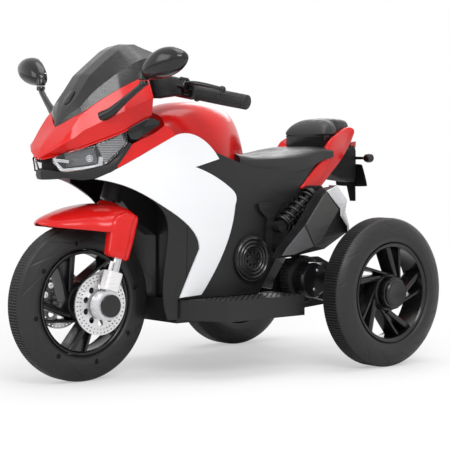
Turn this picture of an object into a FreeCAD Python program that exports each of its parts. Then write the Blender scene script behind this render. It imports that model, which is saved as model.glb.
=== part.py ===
"""Kids' three-wheeled electric motorbike: one steered front wheel, two driven rear wheels.

Frame: +X forward, +Y to the rider's left, +Z up, millimetres.  The origin lies on the ground,
half way between the axles, on the centre plane.  Front pieces are placed from the front axle,
rear pieces from the rear axle, and every height is taken from the axle height.
"""
import FreeCAD
import Part
import math
import os
import re
import Sketcher
from FreeCAD import Placement, Rotation, Vector

doc = FreeCAD.newDocument("KidsMotorbike")
dims = doc.addObject("Spreadsheet::Sheet", "Dims")

DIMENSIONS = [
    ("wheelbase", 580, "front axle to rear axle"),
    ("rear_track", 465, "between the middle planes of the rear wheels"),
    ("wheel_radius", 150, "outside of the tread"),
    ("tyre_width", 66, "widest part of a rear tyre"),
    ("tread_band", 36, "flat running band of a rear tyre"),
    ("front_tyre_width", 51, "widest part of the front tyre"),
    ("front_tread_band", 28, "flat running band of the front tyre"),
    ("sidewall_depth", 46, "tread to the inner edge of the tyre"),
    ("tyre_wall", 4, "moulded wall of a tyre half"),
    ("rim_wall", 3, "ring that carries the spokes"),
    ("spoke_depth", 35, "spoke, along the axle"),
    ("spoke_thin", 6, "narrow blade of a pair"),
    ("spoke_wide", 12, "broad blade of a pair"),
    ("collar_radius", 40, "round collar the spokes leave from"),
    ("collar_depth", 40, "collar, along the axle"),
    ("hub_radius", 23, "hub barrel of every wheel"),
    ("axle_radius", 6, "both axles"),
    ("axle_play", 0.3, "radial play of everything that turns on an axle"),
    ("seat_gap", 0.2, "gap left where two mouldings are put together"),
    ("disc_radius", 57, "brake disc"),
    ("disc_thickness", 3, "brake disc"),
    ("disc_offset", 66, "middle plane of the front wheel to the inner face of the disc"),
    ("cap_radius", 29, "rear hub cap"),
    ("cap_height", 10, "rear hub cap"),
    ("rake", 18, "lean of the steering axis in degrees"),
    ("fork_offset", 10, "steering axis behind the line of the fork tubes"),
    ("fork_spread", 86, "middle plane to each fork tube"),
    ("fork_tube_radius", 9, "chromed tube"),
    ("fork_end_width", 28, "block at the foot of the fork, fore and aft"),
    ("fork_end_height", 46, "block at the foot of the fork"),
    ("fork_end_depth", 24, "block at the foot of the fork, along the axle"),
    ("boss_radius", 27, "round axle boss on the fork end"),
    ("cover_foot", 90, "axle to the lower edge of the fork covers"),
    ("cover_width", 51, "fork cover, fore and aft"),
    ("cover_depth", 36, "fork cover, across"),
    ("crown_base", 168, "axle to the shoulder of the fork crown"),
    ("crown_height", 32, "shoulder to collar"),
    ("fender_gap", 12, "tread to the inside of the mudguard"),
    ("fender_lift", 12, "middle of the mudguard's arch above the axle"),
    ("fender_half_width", 46, "mudguard"),
    ("stem_radius", 12, "steering stem"),
    ("head_radius", 20, "steering head tube"),
    ("head_start", 203, "axle to the lower end of the steering head, along the steering axis"),
    ("head_length", 126, "steering head tube"),
    ("bush_wall", 2.7, "steering bush"),
    ("bar_reach", 418, "axle to the handlebar, along the steering axis"),
    ("bar_radius", 8.5, "handlebar tube"),
    ("grip_radius", 14.5, "rubber grip"),
    ("grip_length", 104, "rubber grip"),
    ("lever_reach", 37, "handlebar to brake lever"),
    ("lever_radius", 4, "brake lever"),
    ("panel_wall", 3, "body mouldings"),
    ("panel_gap", 1, "joint between neighbouring panels"),
    ("lamp_depth", 14, "lens to the back of the lamp recess"),
    ("tub_length", 290, "floor tub"),
    ("tub_half_width", 100, "floor tub"),
    ("tub_height", 46, "floor tub"),
    ("tub_wall", 4, "floor tub"),
    ("ground_clearance", 106, "ground to the bottom of the floor tub"),
    ("board_width", 90, "footboard, across"),
    ("board_length", 246, "footboard along its inner edge"),
    ("board_height", 40, "footboard"),
    ("board_sweep", 50, "how far the outer front corner is set back"),
    ("ledge_width", 18, "lowered strip of the footboard beside the body"),
    ("ledge_drop", 1.5, "lowered strip, below the tread"),
    ("arm_thickness", 8, "rear axle arm"),
    ("arm_inner", 84, "middle plane to the inner face of a rear axle arm"),
    ("gearbox_radius", 36, "round ends of the gearbox"),
    ("gearbox_width", 40, "gearbox casing along the axle"),
    ("ring_radius", 44, "ribbed ring behind the gearbox"),
    ("ring_width", 20, "ribbed ring"),
    ("motor_reach", 90, "rear axle to motor, forward"),
    ("motor_rise", 22, "rear axle to motor, upward"),
    ("motor_radius", 18, "motor can"),
    ("motor_length", 56, "motor can"),
    ("battery_length", 90, "sealed 12 V battery"),
    ("battery_width", 70, "sealed 12 V battery"),
    ("battery_height", 101, "sealed 12 V battery"),
    ("speaker_radius", 45, "round grille in the body side"),
    ("spring_radius", 15, "shock spring, to the middle of the wire"),
    ("wire_radius", 2.6, "shock spring wire"),
    ("damper_radius", 9, "shock body"),
    ("inlet_bore", 2.75, "charging plug hole"),
    ("inlet_depth", 10, "charging plug hole"),
    ("pedal_length", 62, "accelerator pedal"),
    ("pedal_width", 44, "accelerator pedal"),
    ("button_radius", 9, "power button"),
]
for row, (name, value, note) in enumerate(DIMENSIONS, start=1):
    dims.set(f"A{row}", note)
    dims.set(f"B{row}", str(value))
    dims.setAlias(f"B{row}", name)
doc.recompute()
NAMES = {name for name, _, _ in DIMENSIONS}


def cells(text):
    """Write a size rule in words as an expression on the spreadsheet."""
    return re.sub(r"[a-z_]+", lambda m: "Dims." + m[0] if m[0] in NAMES else m[0], text)


def size(text):
    """Value of a size rule, in millimetres (or degrees)."""
    return float(dims.evalExpression(cells(text)))


AXLE_Z = size("wheel_radius")
FRONT_X = size("wheelbase / 2")
REAR_X = -FRONT_X
WALL = size("panel_wall")
GAP = size("panel_gap")
SNUG = size("seat_gap")
RAKE = math.radians(size("rake"))
TUB_TOP = size("ground_clearance + tub_height")
FACE = SNUG + WALL

parts = {}


def keep(label, obj):
    """Name a finished sub-part; its label becomes its file name."""
    obj.Label = label
    parts[label] = obj
    return obj


def feature(label, shape):
    """A sub-part whose form has no sketch or primitive of its own."""
    obj = doc.addObject("Part::Feature", label)
    obj.Shape = shape
    obj.Placement = Placement()
    return obj


def pair(label, left):
    """A node of two identical pieces, the second one mirrored over the centre plane."""
    right = mirrored(label + "_r", left)
    both = doc.addObject("Part::Compound", label)
    both.Links = [left, right]
    return keep(label, both)


def mirrored(name, source):
    twin = doc.addObject("Part::Mirroring", name)
    twin.Source = source
    twin.Normal = Vector(0, 1, 0)
    twin.Base = Vector(0, 0, 0)
    return twin


def primitive(kind, name, place, **sizes):
    """A Part primitive with every size bound to the spreadsheet."""
    obj = doc.addObject("Part::" + kind, name)
    for prop, text in sizes.items():
        obj.setExpression(prop, cells(text))
    obj.Placement = place
    return obj


def fuse(name, pieces):
    obj = doc.addObject("Part::MultiFuse", name)
    obj.Shapes = pieces
    obj.Refine = True
    return obj


def cut(name, base, tool):
    obj = doc.addObject("Part::Cut", name)
    obj.Base = base
    obj.Tool = tool
    obj.Refine = True
    return obj


ALONG_Y = Rotation(Vector(1, 0, 0), -90)


def across(x, y, z):
    """Placement of a round piece whose axis points to the rider's left."""
    return Placement(Vector(x, y, z), ALONG_Y)


def fork_point(ahead, side, up):
    """Point given in the leaning frame of the fork, whose origin is the front axle."""
    x = FRONT_X + ahead * math.cos(RAKE) - up * math.sin(RAKE)
    z = AXLE_Z + ahead * math.sin(RAKE) + up * math.cos(RAKE)
    return Vector(x, side, z)


def fork_place(ahead, side, up):
    return Placement(fork_point(ahead, side, up), Rotation(Vector(0, 1, 0), -math.degrees(RAKE)))


def front(points):
    """Side-view points given from the front axle: (ahead, above)."""
    return [(FRONT_X + a, AXLE_Z + h) for a, h in points]


def rear(points):
    """Side-view points given from the rear axle: (ahead, above)."""
    return [(REAR_X + a, AXLE_Z + h) for a, h in points]


def curve(points):
    """Straight edge through two points, smooth edge through more."""
    if len(points) == 2:
        return Part.LineSegment(*points).toShape()
    line = Part.BSplineCurve()
    line.interpolate(points)
    return line.toShape()


def side_prism(runs, y_from, y_to):
    """Solid between two planes across the object, from a side-view outline of smooth runs.

    Each run starts where the one before it ends; the last one ends at the first point."""
    edges = []
    for run in runs:
        edges.append(curve([Vector(x, y_from, z) for x, z in run]))
    face = Part.Face(Part.Wire(edges))
    return face.extrude(Vector(0, y_to - y_from, 0))


def chain(points):
    """Outline of straight runs through the given points."""
    return [[points[i], points[(i + 1) % len(points)]] for i in range(len(points))]


def polygon_sketch(body, role, corners):
    """Closed sketch on an origin plane; every corner is tied to the spreadsheet."""
    sketch = body.newObject("Sketcher::SketchObject", "Outline")
    plane = next(o for o in body.Origin.OriginFeatures if o.Role == role)
    sketch.AttachmentSupport = (plane, [""])
    sketch.MapMode = "FlatFace"
    points = [Vector(size(u), size(v), 0) for u, v in corners]
    count = len(points)
    for i in range(count):
        sketch.addGeometry(Part.LineSegment(points[i], points[(i + 1) % count]), False)
    for i in range(count):
        sketch.addConstraint(Sketcher.Constraint("Coincident", i, 2, (i + 1) % count, 1))
    for i, corner in enumerate(corners):
        for kind, axis, text, value in (("DistanceX", -2, corner[0], points[i].x),
                                        ("DistanceY", -1, corner[1], points[i].y)):
            if text == "0":
                sketch.addConstraint(Sketcher.Constraint("PointOnObject", i, 1, axis))
            else:
                index = sketch.addConstraint(Sketcher.Constraint(kind, -1, 1, i, 1, value))
                sketch.setExpression(f"Constraints[{index}]", cells(text))
    return sketch


def turned(name, corners, place):
    """Body of revolution about the wheel axis; corners are (along the axle, radius)."""
    body = doc.addObject("PartDesign::Body", name)
    sketch = polygon_sketch(body, "YZ_Plane", corners)
    revolution = body.newObject("PartDesign::Revolution", "Turn")
    revolution.Profile = sketch
    revolution.ReferenceAxis = (sketch, ["H_Axis"])
    revolution.Angle = 360
    body.Placement = place
    return body


def ring_sketch(body, radii, role="XZ_Plane"):
    """Sketch of concentric circles about the origin."""
    sketch = body.newObject("Sketcher::SketchObject", "Rings")
    plane = next(o for o in body.Origin.OriginFeatures if o.Role == role)
    sketch.AttachmentSupport = (plane, [""])
    sketch.MapMode = "FlatFace"
    for i, text in enumerate(radii):
        circle = Part.Circle(Vector(0, 0, 0), Vector(0, 0, 1), size(text))
        sketch.addGeometry(circle, False)
        sketch.addConstraint(Sketcher.Constraint("Coincident", i, 3, -1, 1))
        index = sketch.addConstraint(Sketcher.Constraint("Radius", i, size(text)))
        sketch.setExpression(f"Constraints[{index}]", cells(text))
    return sketch


# Wheels


def tyre_profile(width, band):
    """Half of a hollow tyre as (along the axle, radius) corners, tread first."""
    return [
        ("0", "wheel_radius"),
        (f"{band} / 2", "wheel_radius"),
        (f"{band} / 2 + 4", "wheel_radius - 3"),
        (f"{width} / 2 - 5", "wheel_radius - 14"),
        (f"{width} / 2 - 1", "wheel_radius - 26"),
        (f"{width} / 2", "wheel_radius - 36"),
        (f"{width} / 2 - 2", "wheel_radius - sidewall_depth"),
        (f"{width} / 2 - 5", "wheel_radius - sidewall_depth - tyre_wall"),
        ("0", "wheel_radius - sidewall_depth - tyre_wall"),
        ("0", "wheel_radius - sidewall_depth"),
        (f"{width} / 2 - 7", "wheel_radius - sidewall_depth"),
        (f"{width} / 2 - tyre_wall", "wheel_radius - 36"),
        (f"{width} / 2 - tyre_wall - 1", "wheel_radius - 27"),
        (f"{width} / 2 - tyre_wall - 5", "wheel_radius - 17"),
        (f"{band} / 2 + 1", "wheel_radius - 7"),
        (f"{band} / 2 - 2", "wheel_radius - tyre_wall"),
        ("0", "wheel_radius - tyre_wall"),
    ]


RIM_OUTER = "wheel_radius - sidewall_depth - tyre_wall - seat_gap"
PAIR_COUNT = 5


def tyre(label, place, width, band):
    """Two half-shells that meet in the middle plane of the wheel."""
    profile = tyre_profile(width, band)
    outer_half = turned(label + "_a", profile, place)
    flipped = [(f"0 - ({u})" if u != "0" else "0", v) for u, v in profile]
    inner_half = turned(label + "_b", flipped, place)
    both = doc.addObject("Part::Compound", label)
    both.Links = [outer_half, inner_half]
    return keep(label, both)


# Each pair of blades as (thickness, degrees at the collar, degrees at the ring).
BLADES = [("spoke_thin", 3.5, 54), ("spoke_wide", 37, 74)]


def wheel_point(radius, angle):
    """Point of the wheel's plane; the angle starts at the top and grows towards the front."""
    turn = math.radians(angle)
    return Vector(radius * math.sin(turn), 0, radius * math.cos(turn))


def spokes(hand, phase):
    """Pairs of straight deep blades that leave the collar at a tangent and end in the ring."""
    root = size("collar_radius - spoke_thin / 2")
    edge = size(RIM_OUTER + " - rim_wall / 2")
    depth = size("spoke_depth")
    inside = Part.makeCylinder(edge, depth, Vector(0, -depth / 2, 0), Vector(0, 1, 0))
    blades = []
    for pair in range(PAIR_COUNT):
        first = phase + pair * 360 / PAIR_COUNT
        for thickness, root_angle, tip_angle in BLADES:
            foot = wheel_point(root, first + hand * root_angle)
            tip = wheel_point(edge, first + hand * tip_angle)
            way = (tip - foot).normalize()
            tip += way * size("rim_wall + spoke_wide / 3")
            aside = way.cross(Vector(0, 1, 0)) * size(thickness) / 2
            corners = [foot + aside, tip + aside, tip - aside, foot - aside]
            bar = Part.Face(Part.makePolygon(corners + corners[:1])).extrude(Vector(0, depth, 0))
            bar.translate(Vector(0, -depth / 2, 0))
            blades.append(bar.common(inside))
    return blades


def tube(radius, bore, y_from, y_to):
    """Hollow cylinder along the wheel axis."""
    base = Vector(0, y_from, 0)
    outside = Part.makeCylinder(radius, y_to - y_from, base, Vector(0, 1, 0))
    return outside.cut(Part.makeCylinder(bore, y_to - y_from, base, Vector(0, 1, 0)))


def rim(label, place, width, hub_half, hand, phase):
    """Spoked wheel centre: barrel ring, pairs of blades, round collar and a bored hub."""
    half = size(width + " / 2 - 6")
    ring = tube(size(RIM_OUTER), size(RIM_OUTER + " - rim_wall"), -half, half)
    bore = size("axle_radius + axle_play")
    hub = tube(size("hub_radius"), bore, -hub_half, hub_half)
    collar = tube(size("collar_radius"), bore, -size("collar_depth / 2"), size("collar_depth / 2"))
    shape = hub.fuse(spokes(hand, phase) + [collar, ring]).removeSplitter()
    obj = feature(label, shape)
    obj.Placement = place
    return keep(label, obj)


front_place = Placement(Vector(FRONT_X, 0, AXLE_Z), Rotation())
tyre("front_tyre", front_place, "front_tyre_width", "front_tread_band")
rim("front_rim", front_place, "front_tyre_width", size("disc_offset"), -1, 90)
HUB_HALF = size("tyre_width / 2")
for name, sign in (("left", 1), ("right", -1)):
    wheel_place = Placement(Vector(REAR_X, sign * size("rear_track / 2"), AXLE_Z), Rotation())
    tyre("rear_tyre_" + name, wheel_place, "tyre_width", "tread_band")
    rim("rear_rim_" + name, wheel_place, "tyre_width", HUB_HALF, sign, 0)
    cap_profile = [(f"{u} * {sign}", v) for u, v in (
        ("tyre_width / 2", "axle_radius + 2"),
        ("tyre_width / 2", "cap_radius"),
        ("(tyre_width / 2 + cap_height - 3)", "cap_radius"),
        ("(tyre_width / 2 + cap_height)", "cap_radius - 4"),
        ("(tyre_width / 2 + cap_height)", "cap_radius - 11"),
        ("(tyre_width / 2 + cap_height - 3)", "cap_radius - 14"),
    )]
    cap_profile.append((f"(tyre_width / 2 + cap_height - 3) * {sign}", "0"))
    cap_profile.append((f"(tyre_width / 2 + 6) * {sign}", "0"))
    cap_profile.append((f"(tyre_width / 2 + 6) * {sign}", "axle_radius + 2"))
    keep("hub_cap_" + name, turned("hub_cap_" + name, cap_profile, wheel_place))


def brake_disc():
    """Disc with two rings of drilled holes and round windows, pushed against the hub end."""
    body = doc.addObject("PartDesign::Body", "disc")
    rings = ring_sketch(body, ["disc_radius", "axle_radius + 3"])
    pad = body.newObject("PartDesign::Pad", "Plate")
    pad.Profile = rings
    pad.setExpression("Length", cells("disc_thickness"))
    pad.Reversed = True
    last = pad
    for name, radius, reach, count in (("Outer", "1.6", "disc_radius - 4.5", 40),
                                       ("Inner", "1.6", "disc_radius - 11", 40),
                                       ("Window", "6", "disc_radius - 23", 10)):
        sketch = body.newObject("Sketcher::SketchObject", name)
        plane = next(o for o in body.Origin.OriginFeatures if o.Role == "XZ_Plane")
        sketch.AttachmentSupport = (plane, [""])
        sketch.MapMode = "FlatFace"
        circle = Part.Circle(Vector(0, size(reach), 0), Vector(0, 0, 1), size(radius))
        sketch.addGeometry(circle, False)
        sketch.addConstraint(Sketcher.Constraint("PointOnObject", 0, 3, -2))
        sketch.addConstraint(Sketcher.Constraint("Radius", 0, size(radius)))
        index = sketch.addConstraint(Sketcher.Constraint("DistanceY", -1, 1, 0, 3, size(reach)))
        sketch.setExpression(f"Constraints[{index}]", cells(reach))
        pocket = body.newObject("PartDesign::Pocket", name + "Hole")
        pocket.Profile = sketch
        pocket.Type = "ThroughAll"
        pocket.Midplane = True
        doc.recompute()
        pattern = body.newObject("PartDesign::PolarPattern", name + "Ring")
        pattern.Originals = [pocket]
        pattern.Axis = (sketch, ["N_Axis"])
        pattern.Angle = 360
        pattern.Occurrences = count
        body.Tip = pattern
        last = pattern
    body.Tip = last
    body.Placement = Placement(Vector(FRONT_X, size("disc_offset"), AXLE_Z), Rotation())
    return body


pair("brake_discs", brake_disc())

# Axles

BOSS_INNER = "disc_offset + disc_thickness + 5"
axle_end = BOSS_INNER + " + fork_end_depth"
front_rod = primitive("Cylinder", "front_rod", across(FRONT_X, -size(axle_end), AXLE_Z),
                      Radius="axle_radius", Height=f"2 * ({axle_end})")
caps = []
for sign in (1, -1):
    start = size(axle_end) if sign > 0 else -size(axle_end) - 6
    caps.append(primitive("Cylinder", "axle_cap", across(FRONT_X, start, AXLE_Z),
                          Radius="boss_radius - 6", Height="6"))
keep("front_axle", fuse("front_axle", [front_rod] + caps))
rear_half = "rear_track / 2 + tyre_width / 2 + 3"
keep("rear_axle", primitive("Cylinder", "rear_axle", across(REAR_X, -size(rear_half), AXLE_Z),
                            Radius="axle_radius", Height=f"2 * ({rear_half})"))

# Fork, mudguard and steering stem

tube_top = "crown_base + 4"
fork_tube = primitive("Cylinder", "fork_tube", fork_place(0, size("fork_spread"), 20),
                      Radius="fork_tube_radius", Height=f"{tube_top} - 20")
pair("fork_tubes", fork_tube)
end_width = size("fork_end_width")
end_block = primitive("Box", "end_block",
                      fork_place(-end_width / 2, size(BOSS_INNER), 22 - size("fork_end_height")),
                      Length="fork_end_width", Width="fork_end_depth", Height="fork_end_height")
end_boss = primitive("Cylinder", "end_boss", across(FRONT_X, size(BOSS_INNER), AXLE_Z),
                     Radius="boss_radius", Height="fork_end_depth")
end_bore = primitive("Cylinder", "end_bore", across(FRONT_X, size(BOSS_INNER) - 1, AXLE_Z),
                     Radius="axle_radius + seat_gap", Height="fork_end_depth + 2")
end_socket = primitive("Cylinder", "end_socket", fork_place(0, size("fork_spread"), 20 - SNUG),
                       Radius="fork_tube_radius + seat_gap", Height="fork_end_height")
end_solid = fuse("end_solid", [end_block, end_boss])
pair("fork_ends", cut("fork_end", end_solid, fuse("end_holes", [end_bore, end_socket])))


def rectangle(ahead_half, side_half, up):
    corners = [(ahead_half, side_half), (-ahead_half, side_half),
               (-ahead_half, -side_half), (ahead_half, -side_half)]
    points = [fork_point(a, s, up) for a, s in corners]
    return Part.makePolygon(points + points[:1])


def front_fender():
    """Mudguard arch, two fork covers, sloping crown and collar in one moulding."""
    inside = size("wheel_radius + fender_gap")
    half = size("fender_half_width")
    profile = [(inside - 22, half), (inside - 4, half - 5), (inside, half - 22), (inside, 22 - half),
               (inside - 4, 5 - half), (inside - 22, -half)]
    outer = [(r + WALL, y + math.copysign(WALL, y) * (abs(y) > half - 6)) for r, y in profile]
    outer[0] = (inside - 22, half + WALL)
    outer[-1] = (inside - 22, -half - WALL)
    centre = Vector(FRONT_X + 4, 0, AXLE_Z + size("fender_lift"))
    loop = [centre + Vector(0, y, r) for r, y in outer + profile[::-1]]
    section = Part.Face(Part.makePolygon(loop + loop[:1]))
    section.rotate(centre, Vector(0, 1, 0), -29)
    arch = section.revolve(centre, Vector(0, 1, 0), 70)
    tip = inside * 0.59
    plan = [(tip, 0), (tip - 40, half + 8), (-inside, half + 8),
            (-inside, -half - 8), (tip - 40, -half - 8)]
    corners = [Vector(FRONT_X + a, s, 0) for a, s in plan]
    trim = Part.Face(Part.makePolygon(corners + corners[:1])).extrude(Vector(0, 0, 2 * AXLE_Z + 200))
    arch = arch.common(trim)
    foot = size("cover_foot")
    base = size("crown_base")
    spread = size("fork_spread")
    deep = size("cover_depth") / 2
    wide = size("cover_width") / 2
    covers = []
    for sign in (1, -1):
        wires = []
        for up, shrink in ((foot, 8), (foot + 20, 5), (base - 22, 1), (base, 3)):
            w, d = wide - shrink, deep - shrink
            points = [fork_point(a, sign * spread + s, up)
                      for a, s in ((w, d), (-w, d), (-w, -d), (w, -d))]
            wires.append(Part.makePolygon(points + points[:1]))
        covers.append(Part.makeLoft(wires, True, True))
    collar = size("head_radius")
    top = base + size("crown_height")
    crown = Part.makeLoft([rectangle(wide - 3, spread + deep - 3, base - 4),
                           rectangle(wide - 6, spread - 2, base + 10),
                           rectangle(collar, collar, top - 6)], True, True)
    axis_back = -size("fork_offset")
    neck = Part.makeCylinder(collar, 8, fork_point(axis_back, 0, top - 8),
                             fork_point(0, 0, 1) - fork_point(0, 0, 0))
    shape = arch.fuse(covers + [crown, neck]).removeSplitter()
    up_axis = fork_point(0, 0, 1) - fork_point(0, 0, 0)
    holes = [Part.makeCylinder(size("fork_tube_radius") + SNUG, size(tube_top) + SNUG - foot + 5,
                               fork_point(0, sign * spread, foot - 5), up_axis) for sign in (1, -1)]
    holes.append(Part.makeCylinder(size("stem_radius") + SNUG, 60,
                                   fork_point(axis_back, 0, base + 6), up_axis))
    return shape.cut(holes)


keep("front_fender", feature("front_fender", front_fender()))
axis_back = -size("fork_offset")
stem_start = size("crown_base") + 6 + SNUG
stem = primitive("Cylinder", "stem_rod", fork_place(axis_back, 0, stem_start),
                 Radius="stem_radius", Height="bar_reach - bar_radius - seat_gap - crown_base - 6.2")
keep("steering_stem", stem)

head_place = fork_place(axis_back, 0, size("head_start"))
bush_low = primitive("Cylinder", "bush_low", head_place,
                     Radius="stem_radius + axle_play + bush_wall", Height="22")
bush_high = primitive("Cylinder", "bush_high",
                      fork_place(axis_back, 0, size("head_start + head_length - 22")),
                      Radius="stem_radius + axle_play + bush_wall", Height="22")
bush_bore = primitive("Cylinder", "bush_bore", fork_place(axis_back, 0, size("head_start - 2")),
                      Radius="stem_radius + axle_play", Height="head_length + 4")
bushes = doc.addObject("Part::Compound", "bush_pair")
bushes.Links = [bush_low, bush_high]
keep("steering_bushes", cut("steering_bushes", bushes, bush_bore))


def frame_spine():
    """Welded box spine from the floor tub to the steering head tube."""
    low, high = size("head_start"), size("head_start + head_length")
    floor = size("ground_clearance + tub_wall") - AXLE_Z
    up_axis = fork_point(0, 0, 1) - fork_point(0, 0, 0)
    foot = fork_point(axis_back, 0, low + 14)
    knee = fork_point(axis_back, 0, high - 20)
    reach = foot.x - FRONT_X
    outline = front([(-168, floor), (-206, floor), (-206, 150), (-176, 230)])
    outline += [(knee.x, knee.z), (foot.x, foot.z)]
    outline += front([(reach - 42, foot.z - AXLE_Z - 50), (-168, 120)])
    spine = side_prism(chain(outline), -18, 18)
    head = Part.makeCylinder(size("head_radius"), high - low, fork_point(axis_back, 0, low), up_axis)
    bore = Part.makeCylinder(size("stem_radius + axle_play + bush_wall") + SNUG, high - low + 4,
                             fork_point(axis_back, 0, low - 2), up_axis)
    return spine.fuse(head).removeSplitter().cut(bore)


SPINE = frame_spine()
keep("frame_spine", feature("frame_spine", SPINE))

# Handlebar, grips, clamps and levers

bar_centre = fork_point(axis_back, 0, size("bar_reach"))
grip_root = bar_centre + Vector(-55, 108, 2)
grip_tip = bar_centre + Vector(-90, 218, -19)
grip_axis = (grip_tip - grip_root).normalize()
level_ahead = grip_axis.cross(Vector(0, 0, 1)).normalize()
level_up = level_ahead.cross(grip_axis)
LEVER_TILT = math.radians(32)
grip_ahead = level_ahead * math.cos(LEVER_TILT) + level_up * math.sin(LEVER_TILT)
grip_up = level_up * math.cos(LEVER_TILT) - level_ahead * math.sin(LEVER_TILT)


def grip_point(along, ahead, up):
    """Point in the frame of the left grip: origin at its inner end, on the tube axis."""
    return grip_root + grip_axis * along + grip_ahead * ahead + grip_up * up


def handlebar():
    """Bent tube, straight where the grips sit, with a round clamp over the stem."""
    def flip(v):
        return Vector(v.x, -v.y, v.z)

    bend = grip_point(-46, 0, 0)
    middle = Part.BSplineCurve()
    middle.interpolate([bend, bar_centre, flip(bend)],
                       InitialTangent=grip_axis * -1, FinalTangent=flip(grip_axis))
    left = Part.LineSegment(grip_tip, bend).toShape()
    right = Part.LineSegment(flip(bend), flip(grip_tip)).toShape()
    path = Part.Wire([left, middle.toShape(), right])
    circle = Part.Wire(Part.makeCircle(size("bar_radius"), grip_tip, grip_axis))
    bar = path.makePipeShell([circle], True, False)
    up_axis = fork_point(0, 0, 1) - fork_point(0, 0, 0)
    clamp = Part.makeCylinder(size("head_radius"), 24, bar_centre - up_axis * 14, up_axis)
    shape = bar.fuse(clamp).removeSplitter()
    hole_top = bar_centre - up_axis * (size("bar_radius") + 60)
    socket = Part.makeCylinder(size("stem_radius") + SNUG, 60, hole_top, up_axis)
    return shape.cut(socket)


keep("handlebar", feature("handlebar", handlebar()))


def local(x_axis, y_axis, z_axis, origin):
    matrix = FreeCAD.Matrix(x_axis.x, y_axis.x, z_axis.x, origin.x,
                            x_axis.y, y_axis.y, z_axis.y, origin.y,
                            x_axis.z, y_axis.z, z_axis.z, origin.z, 0, 0, 0, 1)
    return Placement(matrix)


grip_place = local(grip_up, grip_ahead, grip_axis, grip_point(4, 0, 0))
grip_body = doc.addObject("PartDesign::Body", "grip")
grip_rings = ring_sketch(grip_body, ["grip_radius", "bar_radius + seat_gap"], "XY_Plane")
grip_pad = grip_body.newObject("PartDesign::Pad", "Sleeve")
grip_pad.Profile = grip_rings
grip_pad.setExpression("Length", cells("grip_length"))
grip_body.Placement = grip_place
pair("grips", grip_body)

PIVOT_ALONG = -14
PIVOT_AHEAD = 24
PIVOT_RADIUS = 3


def lever_clamp():
    """Clamp round the bar with a forked nose for the lever."""
    ring = Part.makeCylinder(size("bar_radius") + 7, 38, grip_point(-42, 0, 0), grip_axis)
    nose = Part.makeBox(20, 28, 18)
    nose.Placement = local(grip_up, grip_ahead, grip_axis, grip_point(-23, 4, -10))
    slot = Part.makeBox(10, 30, 40)
    slot.Placement = local(grip_up, grip_ahead, grip_axis, grip_point(-34, 15.5, -5))
    bore = Part.makeCylinder(size("bar_radius") + SNUG, 60, grip_point(-44, 0, 0), grip_axis)
    pin = Part.makeCylinder(PIVOT_RADIUS, 20, grip_point(PIVOT_ALONG, PIVOT_AHEAD, -10), grip_up)
    return ring.fuse(nose).removeSplitter().cut([slot, bore]).fuse(pin)


pair("lever_clamps", feature("lever_clamp", lever_clamp()))


def brake_lever():
    """Curved lever with an eye round the clamp pin and a ball at its end."""
    reach = size("lever_reach")
    radius = size("lever_radius")
    spots = [(PIVOT_ALONG + 6, PIVOT_AHEAD + 3), (8, reach - 3), (40, reach), (78, reach - 4)]
    points = [grip_point(t, n, 0) for t, n in spots]
    line = Part.BSplineCurve()
    line.interpolate(points)
    start = points[0]
    circle = Part.Wire(Part.makeCircle(radius, start, line.tangent(line.FirstParameter)[0]))
    arm = Part.Wire(line.toShape()).makePipeShell([circle], True, False)
    ball = Part.makeSphere(radius + 2.5, points[-1])
    eye = Part.makeCylinder(8, 9, grip_point(PIVOT_ALONG, PIVOT_AHEAD, -4.5), grip_up)
    hole = Part.makeCylinder(PIVOT_RADIUS + size("axle_play"), 30,
                             grip_point(PIVOT_ALONG, PIVOT_AHEAD, -15), grip_up)
    return arm.fuse([ball, eye]).removeSplitter().cut(hole)


lever_left = keep("brake_lever_left", feature("brake_lever_left", brake_lever()))
keep("brake_lever_right", mirrored("brake_lever_right", lever_left))

# Body skin: one surface from nose to tail, every side panel is a patch of it at its own depth

HALF_WIDTHS_FRONT = [(102, 10), (84, 34), (54, 54), (13, 72), (-28, 88), (-73, 101), (-120, 109),
                     (-170, 115), (-230, 118), (-290, 117)]
HALF_WIDTHS_REAR = [(230, 112), (170, 104), (110, 97), (60, 90), (10, 80), (-40, 67), (-85, 50),
                    (-120, 30), (-142, 10)]
WIDTH_BY_HEIGHT = [(-60, 0.95), (10, 0.97), (110, 1.0), (200, 1.0), (290, 0.93), (350, 0.86),
                   (390, 0.78)]
made_skins = {}


def body_half(depth, spare=0):
    """Left half of the body, its side moved out by depth; spare lets it cut a fuller one."""
    if (depth, spare) in made_skins:
        return made_skins[depth, spare]
    stations = [(FRONT_X + a, w) for a, w in HALF_WIDTHS_FRONT]
    stations += [(REAR_X + a, w) for a, w in HALF_WIDTHS_REAR]
    stations[0] = (stations[0][0] + depth, stations[0][1])
    stations[-1] = (stations[-1][0] - depth, stations[-1][1])
    heights = list(WIDTH_BY_HEIGHT)
    heights[0] = (heights[0][0] - spare, heights[0][1])
    heights[-1] = (heights[-1][0] + spare, heights[-1][1])
    wires = []
    for x, width in stations:
        side = [Vector(x, max(width * f + depth, 1), AXLE_Z + h) for h, f in heights]
        low = Vector(x, -spare, side[0].z)
        high = Vector(x, -spare, side[-1].z)
        edges = [curve(side), curve([side[-1], high]), curve([high, low]), curve([low, side[0]])]
        wires.append(Part.Wire(edges))
    made_skins[depth, spare] = Part.makeLoft(wires, True, False)
    return made_skins[depth, spare]


def reflect(shape):
    return shape.mirror(Vector(), Vector(0, 1, 0))


def patch(runs, outside, inside):
    """Left panel: the skin between two depths, inside a side-view outline."""
    outline = side_prism(runs, -1, 200)
    return body_half(outside).common(outline).cut(body_half(inside, 5))


def inside_body(runs, depth):
    """Plate across the whole body that stops short of the skin."""
    half = body_half(depth).common(side_prism(runs, -1, 200))
    return half.fuse(reflect(half)).removeSplitter()


def lift(points, rise):
    return [(x, z + rise) for x, z in points]


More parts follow.
